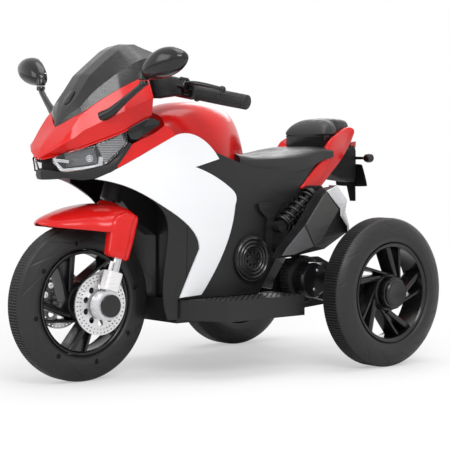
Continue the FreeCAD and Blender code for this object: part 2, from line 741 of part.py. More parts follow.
def band(points, thickness):
    """Outline of a plate that follows a side-view line, thick upwards."""
    upper = lift(points, thickness)[::-1]
    return [points, [points[-1], upper[0]], upper, [upper[-1], points[0]]]


def below(line):
    """Solid under a side-view line, down to axle height and across the whole body."""
    first, last = line[0], line[-1]
    floor = [(last[0], AXLE_Z), (first[0], AXLE_Z)]
    return side_prism([line, [last, floor[0]], floor, [floor[1], first]], -200, 200)


white_top = front([(12, 233), (-28, 252), (-96, 287), (-150, 313)])
fairing_runs = [
    white_top,
    front([(-150, 313), (-181, 318), (-215, 306), (-251, 269)]),
    front([(-251, 269), (-192, 254)]),
    front([(-192, 254), (-241, 234), (-281, 209)]),
    front([(-281, 209), (-290, 197), (-287, 179)]),
    front([(-287, 179), (-273, 123), (-253, 80), (-205, 9)]),
    front([(-205, 9), (-156, 6)]),
    front([(-156, 6), (-179, 56), (-199, 97)]),
    front([(-199, 97), (-195, 115), (-174, 142), (-119, 180), (-52, 216), (12, 233)]),
]
pair("side_fairings", feature("side_fairing", patch(fairing_runs, 0, -WALL)))

cheek_low = lift(white_top[1:], GAP)
cheek_high = front([(-130, 334), (-75, 305), (-45, 287), (-32, 268)])
cheek_runs = [
    cheek_low,
    [cheek_low[-1]] + front([(-146, 324)]),
    front([(-146, 324), (-130, 334)]),
    cheek_high + [cheek_low[0]],
]
pair("cheek_panels", feature("cheek_panel", patch(cheek_runs, 0, -WALL)))

inner_runs = [
    front([(-40, 222), (-100, 190), (-125, 160), (-128, 112), (-122, 0), (-132, -36)]),
    front([(-132, -36), (-152, -36)]),
    front([(-152, -36), (-152, 3)]),
    front([(-152, 3), (-171, 3)]),
    front([(-171, 3), (-171, 200)]),
    front([(-171, 200), (-100, 262), (-40, 240)]),
    front([(-40, 240), (-40, 222)]),
]
pair("inner_fairings", feature("inner_fairing", patch(inner_runs, -FACE, -FACE - WALL)))

# Black body shell under tank and seat

deck_line = front([(-172, 288), (-270, 271)]) + rear([(240, 250), (170, 246), (74, 246)])
tub_line = TUB_TOP + SNUG - AXLE_Z
tail_line = rear([(68, 202), (140, 112), (190, 40)]) + [(REAR_X + 220, AXLE_Z + tub_line)]
shell_runs = [
    front([(-172, tub_line), (-172, 288)]),
    deck_line,
    [deck_line[-1], tail_line[0]],
    tail_line,
    [tail_line[-1]] + front([(-172, tub_line)]),
]
inlet_spot = rear([(190, 215)])[0]
shell = patch(shell_runs, -FACE, -FACE - WALL)
shell_left = keep("body_shell_left", feature("body_shell_left", shell))
inlet_hole = primitive("Cylinder", "inlet_hole", across(inlet_spot[0], -130, inlet_spot[1]),
                       Radius="inlet_bore + 4.5", Height="60")
shell_right = mirrored("shell_twin", shell_left)
keep("body_shell_right", cut("body_shell_right", shell_right, inlet_hole))

inner_depth = -FACE - WALL - SNUG
deck = inside_body(band(deck_line, WALL), -FACE - SNUG)
bulkhead_x = -172 - SNUG
bulkhead_outline = front([(bulkhead_x, tub_line), (bulkhead_x, 289),
                          (bulkhead_x - WALL, 289), (bulkhead_x - WALL, tub_line)])
bulkhead = inside_body(chain(bulkhead_outline), inner_depth)
guard_line = [(x + 3, z) for x, z in tail_line]
guard = inside_body([guard_line, [guard_line[-1], (guard_line[-1][0] + 4, guard_line[-1][1])],
                     [(x + 4, z) for x, z in guard_line[::-1]],
                     [(guard_line[0][0] + 4, guard_line[0][1]), guard_line[0]]], inner_depth)
guard_top = inside_body(chain([guard_line[0], (guard_line[0][0] + 4, guard_line[0][1]),
                               (deck_line[-1][0] + 4, deck_line[-1][1] + 1),
                               (deck_line[-1][0] + 0.1, deck_line[-1][1] + 1)]), inner_depth)
slot_half = 18 + SNUG
spine_slot = Part.makeBox(20, 2 * slot_half, 262,
                          Vector(FRONT_X - 190, -slot_half, TUB_TOP - 10))
core = deck.fuse([bulkhead.cut(spine_slot), guard, guard_top]).removeSplitter()
keep("body_core", feature("body_core", core))


def floor_tub():
    """Open tub under the body with two arms that carry the rear axle."""
    half = size("tub_half_width")
    wall = size("tub_wall")
    length = size("tub_length")
    low = size("ground_clearance")
    nose = FRONT_X - 155
    tub = Part.makeBox(length, 2 * half, size("tub_height"), Vector(nose - length, -half, low))
    hollow = Part.makeBox(length - 2 * wall, 2 * (half - wall), size("tub_height"),
                          Vector(nose - length + wall, wall - half, low + wall))
    tub = tub.cut(hollow)
    inner = size("arm_inner")
    thick = size("arm_thickness")
    outline = [(nose - length + 40, low)] + rear([(-30, -30), (-36, 0), (-30, 32), (44, 66), (128, 66),
                                                  (160, 24)])
    outline.append((nose - length + 40, low + 20))
    arms = [side_prism(chain(outline), inner, inner + thick),
            side_prism(chain(outline), -inner - thick, -inner)]
    shape = tub.fuse(arms).removeSplitter()
    motor = Vector(REAR_X + size("motor_reach"), -half - 20, AXLE_Z + size("motor_rise"))
    holes = [Part.makeCylinder(size("axle_radius") + SNUG, 2 * half + 40,
                               Vector(REAR_X, -half - 20, AXLE_Z), Vector(0, 1, 0)),
             Part.makeCylinder(size("motor_radius") + SNUG, 2 * half + 40, motor, Vector(0, 1, 0))]
    return shape.cut(holes)


keep("floor_tub", feature("floor_tub", floor_tub()))


# Arched mouldings: tank, seat, backrest, windscreen, nose

def arch(stations, smooth=True):
    """Loft through arches given as (x, half profile from the edge up to the crown)."""
    wires = []
    for x, half in stations:
        left = [Vector(x, y, z) for y, z in half]
        right = [Vector(x, -y, z) for y, z in half[::-1] if y > 0]
        points = left + right
        if smooth:
            top = [curve(points)]
        else:
            top = [curve([a, b]) for a, b in zip(points, points[1:])]
        wires.append(Part.Wire(top + [curve([points[-1], points[0]])]))
    return Part.makeLoft(wires, True, False)


def shrunk(stations, wall, front_end, rear_end):
    """Inner side of an arched moulding, its edge carried down and its ends moved inwards."""
    inner = []
    for x, half in stations:
        points = []
        for i, (y, z) in enumerate(half):
            before = half[max(i - 1, 0)]
            after = half[i + 1] if i + 1 < len(half) else (-half[i - 1][0], half[i - 1][1])
            dy, dz = after[0] - before[0], after[1] - before[1]
            length = math.hypot(dy, dz)
            points.append((max(y - wall * dz / length, 0), z + wall * dy / length))
        points[-1] = (0, half[-1][1] - wall)
        points[0] = (points[0][0], half[0][1] - 4)
        inner.append((x, points))
    inner[0] = (inner[0][0] + front_end, inner[0][1])
    inner[-1] = (inner[-1][0] + rear_end, inner[-1][1])
    return inner


def from_axle(origin, rows):
    """Stations given from an axle as (ahead, half profile above the axle)."""
    return [(origin + a, [(y, AXLE_Z + h) for y, h in half]) for a, half in rows]


tank_rows = from_axle(FRONT_X, [
    (-160, [(56, 270), (62, 318), (50, 346), (26, 357), (0, 360)]),
    (-205, [(70, 265), (76, 318), (62, 354), (31, 373), (0, 377)]),
    (-270, [(82, 260), (82, 310), (66, 352), (33, 376), (0, 380)]),
    (-312, [(74, 245), (70, 304), (56, 348), (29, 371), (0, 376)]),
    (-345, [(56, 240), (52, 298), (42, 337), (22, 361), (0, 366)]),
    (-374, [(36, 240), (33, 284), (26, 317), (14, 333), (0, 336)]),
    (-396, [(18, 240), (17, 262), (13, 276), (7, 282), (0, 284)]),
])
tank_outer = arch(tank_rows)
under_deck = below(lift(deck_line, WALL + SNUG))
front_filler = Part.makeBox(60, 400, 290 + WALL + SNUG, Vector(FRONT_X - 172, -200, AXLE_Z - 2))
tank = tank_outer.cut(arch(shrunk(tank_rows, WALL, -WALL, WALL))).cut([under_deck, front_filler])
keep("tank_cover", feature("tank_cover", tank))

# Tail cowl

tail_top = rear([(118, 223), (90, 241), (29, 287), (-4, 305.5), (-55, 327.5)])
tail_runs = [
    tail_top,
    rear([(-55, 327.5), (-111, 323.5), (-141, 315)]),
    rear([(-141, 315), (-138, 305)]),
    rear([(-138, 305), (-92, 290), (-24, 254), (28, 217), (68, 204)]),
    rear([(68, 204), (85, 207)]),
    rear([(85, 207), (118, 223)]),
]
tail_skin = patch(tail_runs, 0, -WALL)
tail_deck_line = rear([(66, 256), (29, 284), (-4, 302.5), (-55, 324.5), (-111, 320.5), (-139, 312)])
tail_deck = body_half(0).common(side_prism(band(tail_deck_line, WALL), -1, 200))
tail_half = tail_skin.fuse(tail_deck)
tail = tail_half.fuse(reflect(tail_half)).removeSplitter()
keep("tail_cowl", feature("tail_cowl", tail))
tail_under = below(lift(tail_deck_line, WALL + SNUG))

# Seat and backrest

seat_rows = from_axle(REAR_X, [
    (246, [(76, 240), (78, 266), (58, 277), (30, 281), (0, 282)]),
    (215, [(88, 240), (90, 264), (66, 273), (32, 275), (0, 275)]),
    (152, [(91, 240), (92, 268), (70, 279), (34, 278), (0, 275)]),
    (97, [(92, 245), (92, 273), (72, 287), (35, 289), (0, 288)]),
    (66, [(91, 258), (91, 281), (71, 294), (35, 297), (0, 297)]),
    (28, [(85, 276), (84, 294), (64, 303), (32, 305), (0, 305)]),
])
tank_clear = arch([(x, [(y + 0.4 if y else 0, z + 0.4) for y, z in half]) for x, half in tank_rows])
seat_outer = arch(seat_rows)
seat = seat_outer.cut(arch(shrunk(seat_rows, WALL + 1, -WALL, WALL)))
seat = seat.cut([under_deck, tail_under, tank_clear])
keep("seat", feature("seat", seat))

backrest_rows = from_axle(REAR_X, [
    (12, [(50, 285), (54, 316), (45, 328), (23, 331), (0, 331)]),
    (-8, [(56, 290), (59, 324), (49, 345), (25, 348), (0, 348)]),
    (-40, [(54, 300), (55, 330), (45, 349), (23, 351), (0, 351)]),
    (-75, [(42, 306), (42, 332), (33, 348), (17, 351), (0, 351)]),
    (-108, [(24, 310), (23, 330), (17, 341), (9, 344), (0, 344)]),
])
seat_clear = arch([(x, [(y + 0.4 if y else 0, z + 0.4) for y, z in half]) for x, half in seat_rows])
backrest = arch(backrest_rows).cut(arch(shrunk(backrest_rows, WALL, -WALL, WALL)))
backrest = backrest.cut([seat_clear, tail_under])
lid_height = AXLE_Z + 319
lid_block = Part.makeBox(400, 300, 100, Vector(REAR_X - 200, -150, lid_height))
keep("backrest_lid", feature("backrest_lid", backrest.common(lid_block)))
keep("backrest_base", feature("backrest_base", backrest.cut(lid_block)))

# Nose cowl, windscreen and lamps

cowl_rows = from_axle(FRONT_X, [
    (97, [(8, 268), (10, 271), (9, 274), (0, 274)]),
    (84, [(32, 273), (37, 282), (35, 290), (0, 290)]),
    (70, [(45, 277), (54, 292), (54, 305), (0, 306)]),
    (51, [(53, 282), (60, 304), (54, 328), (0, 329)]),
    (34, [(60, 287), (66, 320), (54, 350), (0, 350)]),
    (-3, [(73, 299), (79, 338), (64, 377), (0, 377)]),
    (-43, [(87, 318), (93, 358), (75, 401), (0, 401)]),
    (-91, [(95, 344), (101, 382), (83, 424), (0, 424)]),
    (-100, [(96, 350), (101, 386), (83, 428), (0, 428)]),
])
cowl_outer = arch(cowl_rows, False)
cowl_inner = arch(shrunk(cowl_rows[1:], WALL, -WALL, -6), False)
window_rows = []
for x, half in cowl_rows[3:]:
    edge, brow = half[-2]
    window_rows.append((x, [(edge - 6, brow - 16), (edge - 6, brow + 90), (0, brow + 90)]))
window_rows[0] = (window_rows[0][0] - 4, window_rows[0][1])
window_rows[-1] = (window_rows[-1][0] - 6, window_rows[-1][1])
cowl = cowl_outer.cut([cowl_inner, arch(window_rows, False)])
keep("nose_cowl", feature("nose_cowl", cowl))
cowl_clear = cowl_outer.copy()
cowl_clear.translate(Vector(0, 0, SNUG))
cowl_lower = cowl.copy()
cowl_lower.translate(Vector(0, 0, -SNUG))

screen_rows = from_axle(FRONT_X, [
    (50, [(30, 316), (24, 331), (12, 333), (0, 334)]),
    (36, [(52, 335), (43, 356), (23, 364), (0, 366)]),
    (10, [(60, 360), (50, 386), (28, 402), (0, 406)]),
    (-7, [(65, 370), (55, 402), (31, 424), (0, 429)]),
    (-41, [(75, 392), (64, 428), (37, 450), (0, 456)]),
    (-72, [(80, 408), (70, 446), (41, 472), (0, 479)]),
    (-91, [(83, 416), (73, 456), (43, 482), (0, 488)]),
    (-142, [(80, 436), (70, 466), (42, 488), (0, 494)]),
])
screen = arch(screen_rows).cut(arch(shrunk(screen_rows, WALL, -WALL, -6)))
rear_edge = [(-95, 0), (-110, 35), (-136, 62), (-126, 78), (-91, 90), (-91, 200), (-300, 200), (-300, 0)]
corners = [Vector(FRONT_X + a, y, AXLE_Z) for a, y in rear_edge]
edge_curve = curve(corners[:5])
edge_lines = [curve([corners[i], corners[(i + 1) % 8]]) for i in range(4, 8)]
screen_trim = Part.Face(Part.Wire([edge_curve] + edge_lines)).extrude(Vector(0, 0, 600))
screen = screen.cut([cowl_clear, screen_trim, reflect(screen_trim)])
keep("windscreen", feature("windscreen", screen))

lens_top = front([(-49, 318), (-16, 305), (13, 292), (54, 281), (84, 271)])
lens_runs = [
    front([(85, 256), (61, 248), (33, 252), (-11, 257)]),
    front([(-11, 257), (-26, 272), (-38, 290), (-50, 305)]),
    front([(-50, 305), (-49, 318)]),
    lens_top,
    front([(84, 271), (94, 263)]),
    front([(94, 263), (85, 256)]),
]
lens = patch(lens_runs, 0, -WALL).cut([cowl_outer, cowl_lower])
pair("headlight_lenses", feature("headlight_lens", lens))

chin_runs = [
    front([(94, 262), (85, 254.5), (61, 246.5), (33, 250.5), (-11, 255.5)]),
    front([(-11, 255.5), (-26, 254)]),
    front([(-26, 254), (-26, 248)]),
    front([(-26, 248), (10, 231.5)]),
    front([(10, 231.5), (40, 233), (69, 233.5), (100, 240)]),
    front([(100, 240), (104, 250)]),
    front([(104, 250), (94, 262)]),
]
back_runs = [
    front([(100, 242), (98, 264)]),
    front([(98, 264), (84, 275), (54, 285), (13, 297), (-16, 310), (-49, 323), (-96, 350)]),
    front([(-96, 350), (-136, 350)]),
    front([(-136, 350), (-136, 338)]),
    front([(-136, 338), (-60, 296), (-28, 256), (-8, 247), (12, 240), (69, 237), (100, 242)]),
]
recess = size("lamp_depth")
chin = patch(chin_runs, 0, -recess - WALL).cut(below(lift(white_top, SNUG)))
back = patch(back_runs, -recess, -recess - WALL)
housing_half = chin.fuse(back)
housing = housing_half.fuse(reflect(housing_half)).removeSplitter().cut([cowl, cowl_lower])
keep("headlight_housing", feature("headlight_housing", housing))
lamp_runs = [
    front([(70, 256), (40, 258), (0, 264), (-18, 274), (-34, 296)]),
    front([(-34, 296), (-30, 300)]),
    front([(-30, 300), (-12, 282), (6, 272), (40, 266), (70, 263)]),
    front([(70, 263), (70, 256)]),
]
lamp = patch(lamp_runs, -recess + 6, -recess + SNUG)
pair("headlight_lamps", feature("headlight_lamp", lamp))

dash_rows = front([(-100, 353), (-100, 368), (-2, 408), (-2, 400), (-92, 362), (-92, 353)])
dash_room = arch(shrunk(cowl_rows[1:], WALL + SNUG, -WALL, 0), False)
dash_slab = side_prism(chain(dash_rows), -120, 120).common(dash_room).cut([cowl, housing])
dash_plate = feature("dash_plate", dash_slab)
dash_tilt = math.degrees(math.atan2(40, 98))


def dash_place(ahead, side, rise):
    """Placement on the sloping dashboard, its axis square to the surface."""
    spot = Vector(FRONT_X - 100 + ahead, side, AXLE_Z + 368 + ahead * 40 / 98)
    turn = Rotation(Vector(0, 1, 0), -dash_tilt)
    return Placement(spot + turn.multVec(Vector(0, 0, rise)), turn)


button = primitive("Cylinder", "power_button", dash_place(34, 30, -9),
                   Radius="button_radius", Height="13")
keep("power_button", button)
button_hole = primitive("Cylinder", "button_hole", dash_place(34, 30, -20),
                        Radius="button_radius + axle_play", Height="40")
switch_spot = dash_place(34, -38, -1).Base
switch_drum = primitive("Cylinder", "switch_drum", across(*switch_spot), Radius="button_radius - 1",
                        Height="16")
switch_nub = primitive("Cylinder", "switch_nub", dash_place(34, -30, 4), Radius="2.6", Height="9")
keep("direction_switch", fuse("direction_switch", [switch_drum, switch_nub]))
slot_spot = switch_spot - Vector(0, 0.4, 0)
switch_slot = primitive("Cylinder", "switch_slot", across(*slot_spot), Radius="button_radius - 0.6",
                        Height="16.8")
keep("dashboard", cut("dashboard", dash_plate, fuse("dash_holes", [button_hole, switch_slot])))

# Mirrors

MIRROR_SWEEP = math.radians(10)
head_out = Vector(-math.sin(MIRROR_SWEEP), math.cos(MIRROR_SWEEP), 0)
head_ahead = Vector(math.cos(MIRROR_SWEEP), math.sin(MIRROR_SWEEP), 0)
hinge_spot = Vector(FRONT_X - 27, 168, AXLE_Z + 411)
head_centre = hinge_spot + head_out * 47 + Vector(0, 0, 33)
MIRROR_OUTLINE = [(-55, -30), (-55, -8), (-19, 20), (9, 28), (45, 19), (54, 7), (34, -16), (-5, -30)]


def mirror_wire(scale, ahead, drop=0):
    points = []
    for out, up in MIRROR_OUTLINE:
        points.append(head_centre + head_out * out * scale + head_ahead * ahead
                      + Vector(0, 0, up * scale - drop))
    return Part.makePolygon(points + points[:1])


def mirror_head():
    """Shell of the mirror head, hollowed for the glass and bored for its pin."""
    shell = Part.makeLoft([mirror_wire(1, -12), mirror_wire(1, -4), mirror_wire(0.86, 8),
                           mirror_wire(0.5, 18)], True, True)
    recess = Part.makeLoft([mirror_wire(0.9, -13), mirror_wire(0.9, -8)], True, True)
    hole = Part.makeCylinder(4 + size("axle_play"), 22, hinge_spot - Vector(0, 0, 1))
    boss = Part.makeCylinder(8, 16, hinge_spot + Vector(0, 0, 2))
    return shell.fuse(boss).removeSplitter().cut([recess, hole])


head_left = keep("mirror_head_left", feature("mirror_head_left", mirror_head()))
keep("mirror_head_right", mirrored("mirror_head_right", head_left))
glass = Part.makeLoft([mirror_wire(0.89, -10.5), mirror_wire(0.89, -8)], True, True)
glass_clear = Part.makeCylinder(9, 22, hinge_spot - Vector(0, 0, 1))
glass_left = feature("mirror_glass_left", glass.cut(glass_clear))
keep("mirror_glass_left", glass_left)
keep("mirror_glass_right", mirrored("mirror_glass_right", glass_left))


def mirror_stem():
    """Arm from the cowl to the pin that carries the mirror head."""
    start = Vector(FRONT_X - 7, 64, AXLE_Z + 352)
    line = Part.BSplineCurve()
    line.interpolate([start, start + Vector(0, 30, 8), hinge_spot - Vector(0, 0, 4)])
    circle = Part.Wire(Part.makeCircle(6, start, line.tangent(line.FirstParameter)[0]))
    arm = Part.Wire(line.toShape()).makePipeShell([circle], True, False)
    foot = Part.makeCylinder(12, 18, start, Vector(0, 1, 0.2))
    seat_ring = Part.makeCylinder(8, 7, hinge_spot - Vector(0, 0, 7))
    pin = Part.makeCylinder(4, 18, hinge_spot - Vector(0, 0, 2))
    stem_shape = arm.fuse([foot, seat_ring, pin]).removeSplitter()
    clear = cowl_outer.copy()
    clear.translate(Vector(0, SNUG, 0))
    return stem_shape.cut([clear, cowl_outer])


pair("mirror_stems", feature("mirror_stem", mirror_stem()))

# Footboards and pedal

board = doc.addObject("PartDesign::Body", "board")
BOARD_FRONT = "wheelbase / 2 - 159"
BOARD_REAR = BOARD_FRONT + " - board_length"
board_corners = [(BOARD_FRONT, "tub_half_width"),
                 (BOARD_FRONT + " - board_sweep", "tub_half_width + board_width"),
                 (BOARD_REAR, "tub_half_width + board_width"),
                 (BOARD_REAR, "tub_half_width")]
board_pad = board.newObject("PartDesign::Pad", "Slab")
board_pad.Profile = polygon_sketch(board, "XY_Plane", board_corners)
board_pad.setExpression("Length", cells("board_height"))
inset_corners = [(BOARD_FRONT + " - 6", "tub_half_width + panel_wall"),
                 (BOARD_FRONT + " - board_sweep - 3", "tub_half_width + board_width - panel_wall"),
                 (BOARD_REAR + " + panel_wall", "tub_half_width + board_width - panel_wall"),
                 (BOARD_REAR + " + panel_wall", "tub_half_width + panel_wall")]
board_pocket = board.newObject("PartDesign::Pocket", "Underside")
board_pocket.Profile = polygon_sketch(board, "XY_Plane", inset_corners)
board_pocket.setExpression("Length", cells("board_height - panel_wall"))
board_pocket.Reversed = True
ledge_corners = [(BOARD_FRONT + " + 1", "tub_half_width - 1"),
                 (BOARD_FRONT + " + 1", "tub_half_width + ledge_width"),
                 (BOARD_REAR + " - 1", "tub_half_width + ledge_width"),
                 (BOARD_REAR + " - 1", "tub_half_width - 1")]
ledge_sketch = polygon_sketch(board, "XY_Plane", ledge_corners)
ledge_sketch.setExpression("AttachmentOffset.Base.z", cells("board_height"))
ledge = board.newObject("PartDesign::Pocket", "Ledge")
ledge.Profile = ledge_sketch
ledge.setExpression("Length", cells("ledge_drop"))
board.Tip = ledge
BOARD_TOP = TUB_TOP
board.Placement = Placement(Vector(0, 0, BOARD_TOP - size("board_height")), Rotation())
board_right = mirrored("board_right", board)

pedal_x = FRONT_X - 290
pedal_mid = -size("tub_half_width + board_width / 2")
pedal_half = size("pedal_width / 2")
pedal_long = size("pedal_length")
pivot = Vector(pedal_x, pedal_mid, BOARD_TOP + 6)
wedge = [(pedal_x - 4, BOARD_TOP + 3), (pedal_x + pedal_long, BOARD_TOP + 16),
         (pedal_x + pedal_long - 1, BOARD_TOP + 21), (pedal_x - 4, BOARD_TOP + 10)]
pedal = side_prism(chain(wedge), pedal_mid - pedal_half, pedal_mid + pedal_half)
pin_end = pivot - Vector(0, pedal_half + 4.5, 0)
pedal_pin = Part.makeCylinder(2, 2 * pedal_half + 9, pin_end, Vector(0, 1, 0))
keep("accelerator_pedal", feature("accelerator_pedal", pedal.fuse(pedal_pin).removeSplitter()))
lug_base = Part.makeBox(20, 2 * pedal_half + 10, 2, pivot - Vector(10, pedal_half + 5, 6))
lugs = [Part.makeBox(14, 4, 12, pivot + Vector(-7, side, -6))
        for side in (-pedal_half - 5, pedal_half + 1)]
lug_hole = Part.makeCylinder(2 + size("axle_play"), 100, pivot - Vector(0, 50, 0), Vector(0, 1, 0))
pedal_lugs = feature("pedal_lugs", lug_base.fuse(lugs).removeSplitter().cut(lug_hole))
footboards = doc.addObject("Part::Compound", "footboards")
footboards.Links = [board, fuse("board_with_lugs", [board_right, pedal_lugs])]
keep("footboards", footboards)

# Exhausts, grilles, brackets and shocks

EXHAUST_SIDE = 139
exhaust_outline = rear([(198, 78), (105, 208), (64, 204), (50, 130), (130, 76), (190, 64)])


def exhaust():
    """Faceted silencer, wider towards its tail, with a stub that meets the body."""
    middle_x = sum(x for x, z in exhaust_outline) / 6
    middle_z = sum(z for x, z in exhaust_outline) / 6
    wires = []
    for side, scale in ((0, 0.86), (7, 1), (30, 1), (39, 0.84)):
        points = [Vector(middle_x + (x - middle_x) * scale, EXHAUST_SIDE + side,
                         middle_z + (z - middle_z) * scale) for x, z in exhaust_outline]
        wires.append(Part.makePolygon(points + points[:1]))
    return Part.makeLoft(wires, True, True)


silencer = exhaust()
cap_line = rear([(84, 230), (66, 110)])
cap_end = rear([(-20, 110), (-20, 230)])
cap_zone = side_prism(chain(cap_line + cap_end), 100, 220)
cap_room = side_prism(chain([(x + SNUG, z) for x, z in cap_line] + cap_end), 100, 220)
stub_x, stub_z = rear([(172, 89)])[0]
stub = Part.makeCylinder(9, 80, Vector(stub_x, EXHAUST_SIDE + 10 - 80, stub_z), Vector(0, 1, 0))
silencer_body = silencer.cut(cap_room).fuse(stub).removeSplitter().cut(body_half(-FACE + SNUG))
pair("exhausts", feature("exhaust", silencer_body))
pair("exhaust_caps", feature("exhaust_cap", silencer.common(cap_zone)))

speaker_x, speaker_z = rear([(248, 73)])[0]


def speaker_grille():
    """Round dished cover with sound holes that sits on the body side."""
    radius = size("speaker_radius")
    left = Vector(0, 1, 0)
    cover = Part.makeCylinder(radius, 30, Vector(speaker_x, 88, speaker_z), left)
    dish = Part.makeCone(radius - 16, radius - 8, 6, Vector(speaker_x, 112.1, speaker_z), left)
    holes = [dish]
    for index in range(8):
        turn = math.radians(index * 45)
        spot = Vector(speaker_x + 15 * math.cos(turn), 60, speaker_z + 15 * math.sin(turn))
        holes.append(Part.makeCylinder(3, 80, spot, left))
    return cover.cut(holes).cut(body_half(-FACE + SNUG))


bracket_runs = chain(rear([(232, 180), (150, 185), (170, 168), (186, 150), (192, 66), (214, 66),
                           (206, 150), (228, 168)]))
grille_room = Part.makeCylinder(size("speaker_radius") + SNUG, 80, Vector(speaker_x, 80, speaker_z),
                                Vector(0, 1, 0))
side_bracket = patch(bracket_runs, 4.5, -FACE + SNUG).cut(grille_room)
trim_left = Part.makeCompound([speaker_grille(), side_bracket])
pair("side_trims", feature("side_trim", trim_left))

SHOCK_SIDE = 119
shock_top = Vector(REAR_X + 78, SHOCK_SIDE, AXLE_Z + 203)
shock_foot = Vector(REAR_X + 180, SHOCK_SIDE, AXLE_Z + 133)
shock_axis = (shock_top - shock_foot).normalize()
shock_length = (shock_top - shock_foot).Length


def shock_damper():
    """Damper rod with spring plates and an eye at each end."""
    rod = Part.makeCylinder(size("damper_radius"), shock_length, shock_foot, shock_axis)
    plate = size("spring_radius + wire_radius") - 1
    cups = [Part.makeCylinder(plate, 4, shock_foot + shock_axis * 12, shock_axis),
            Part.makeCylinder(plate, 4, shock_top - shock_axis * 16, shock_axis)]
    left = Vector(0, 1, 0)
    low_eye = Part.makeCylinder(11, 60, shock_foot - Vector(0, 48, 0), left).cut(body_half(4.5 + SNUG))
    high_eye = Part.makeCylinder(11, 60, shock_top - Vector(0, 48, 0), left).cut(body_half(SNUG))
    return rod.fuse(cups + [low_eye, high_eye]).removeSplitter()


pair("shock_dampers", feature("shock_damper", shock_damper()))


def biarc(start, start_way, end, end_way):
    """Two arcs that leave one point and reach the other along the given unit directions."""
    span = end - start
    ways = start_way + end_way
    lack = 4 - ways.dot(ways)
    lead = span.dot(ways)
    reach = (math.sqrt(lead * lead + lack * span.dot(span)) - lead) / lack
    corners = (start + start_way * reach, end - end_way * reach)
    joint = (corners[0] + corners[1]) * 0.5
    arcs = []
    for first, corner, last in ((start, corners[0], joint), (joint, corners[1], end)):
        weight = (last - first).Length / 2 / reach
        middle = (first + last + corner * (2 * weight)) * (0.5 / (1 + weight))
        arcs.append(Part.Arc(first, middle, last).toShape())
    return arcs


def least_gap(path, wire, per_turn, turns):
    """Least clear distance between neighbouring turns, measured on points of the wire's path."""
    points = path.discretize(Number=per_turn * turns)
    apart = per_turn // 2
    pairs = [(p, q) for i, p in enumerate(points) for q in points[i + apart:]]
    return min((p - q).Length for p, q in pairs) - 2 * wire


def shock_spring():
    """Round wire wound in quarter-turn biarcs, straight for one wire width at each end."""
    radius = size("spring_radius")
    wire = size("wire_radius")
    turns = 6
    rise = shock_length - 34 - 2 * (wire + SNUG)
    foot = shock_foot + shock_axis * (17 + SNUG + wire)
    side = Vector(0, 1, 0)
    other = shock_axis.cross(side)

    def on_coil(turn):
        angle = 2 * math.pi * turn
        spoke = side * math.cos(angle) + other * math.sin(angle)
        return foot + shock_axis * (rise * turn / turns) + spoke * radius

    def along_coil(turn):
        angle = 2 * math.pi * turn
        round_way = other * math.cos(angle) - side * math.sin(angle)
        return (round_way * (2 * math.pi * radius) + shock_axis * (rise / turns)).normalize()

    first = on_coil(0) - along_coil(0) * 2 * wire
    edges = [curve([first, on_coil(0)])]
    for quarter in range(turns * 4):
        begin, end = quarter / 4, (quarter + 1) / 4
        edges += biarc(on_coil(begin), along_coil(begin), on_coil(end), along_coil(end))
    edges.append(curve([on_coil(turns), on_coil(turns) + along_coil(turns) * 2 * wire]))
    path = Part.Wire(edges)
    print("spring: least gap to itself", round(least_gap(path, wire, 36, turns), 2), "mm")
    circle = Part.Wire(Part.makeCircle(wire, first, along_coil(0)))
    return path.makePipeShell([circle], True, False)


pair("shock_springs", feature("shock_spring", shock_spring()))

# Drive

ring_start = "arm_inner + arm_thickness"
box_start = ring_start + " + ring_width"
motor_x = REAR_X + size("motor_reach")
motor_z = AXLE_Z + size("motor_rise")
box_ends = [primitive("Cylinder", "box_end", across(x, size(box_start), z),
                      Radius="gearbox_radius", Height="gearbox_width")
            for x, z in ((motor_x, motor_z), (REAR_X, AXLE_Z))]
box_slope = math.degrees(math.atan2(size("motor_rise"), size("motor_reach")))
box_turn = Rotation(Vector(0, 1, 0), -box_slope)
box_drop = box_turn.multVec(Vector(0, 0, -size("gearbox_radius")))
box_corner = Vector(REAR_X, size(box_start), AXLE_Z) + box_drop
box_middle = primitive("Box", "box_middle", Placement(box_corner, box_turn),
                       Length="sqrt(motor_reach ^ 2 + motor_rise ^ 2)", Width="gearbox_width",
                       Height="2 * gearbox_radius")
ring = primitive("Cylinder", "ring", across(motor_x, size(ring_start), motor_z),
                 Radius="ring_radius", Height="ring_width")
box_end = f"{box_start} + gearbox_width"
output = primitive("Cylinder", "output", across(REAR_X, size(box_end), AXLE_Z),
                   Radius="hub_radius", Height=f"rear_track / 2 - tyre_width / 2 - 0.7 - ({box_end})")
gear_bore = primitive("Cylinder", "gear_bore", across(REAR_X, 0, AXLE_Z),
                      Radius="axle_radius + seat_gap", Height="rear_track / 2")
motor = primitive("Cylinder", "motor", across(motor_x, size(ring_start) - size("motor_length"), motor_z),
                  Radius="motor_radius", Height="motor_length")
drive_solid = fuse("drive_solid", box_ends + [box_middle, ring, output, motor])
pair("drive_units", cut("drive_unit", drive_solid, gear_bore))

battery_base = Vector(FRONT_X - 220 - size("battery_length"), -size("battery_width / 2"),
                      size("ground_clearance + tub_wall"))
keep("battery", primitive("Box", "battery", Placement(battery_base, Rotation()),
                          Length="battery_length", Width="battery_width", Height="battery_height"))


def charge_inlet():
    """Flanged socket in the right body side, drilled for the charging plug."""
    x, z = inlet_spot
    bore = size("inlet_bore")
    out = Vector(0, -1, 0)
    skin = body_half(-FACE + SNUG)
    flange = Part.makeCylinder(bore + 8, 14, Vector(x, -96, z), out).cut(reflect(skin))
    face = -96 - 14
    barrel = Part.makeCylinder(bore + 4.2, 26, Vector(x, face + 26, z), out)
    hole = Part.makeCylinder(bore, size("inlet_depth"), Vector(x, face + size("inlet_depth"), z), out)
    return flange.fuse(barrel).removeSplitter().cut(hole)


keep("charge_inlet", feature("charge_inlet", charge_inlet()))

# Number plate bracket, tail light and signals


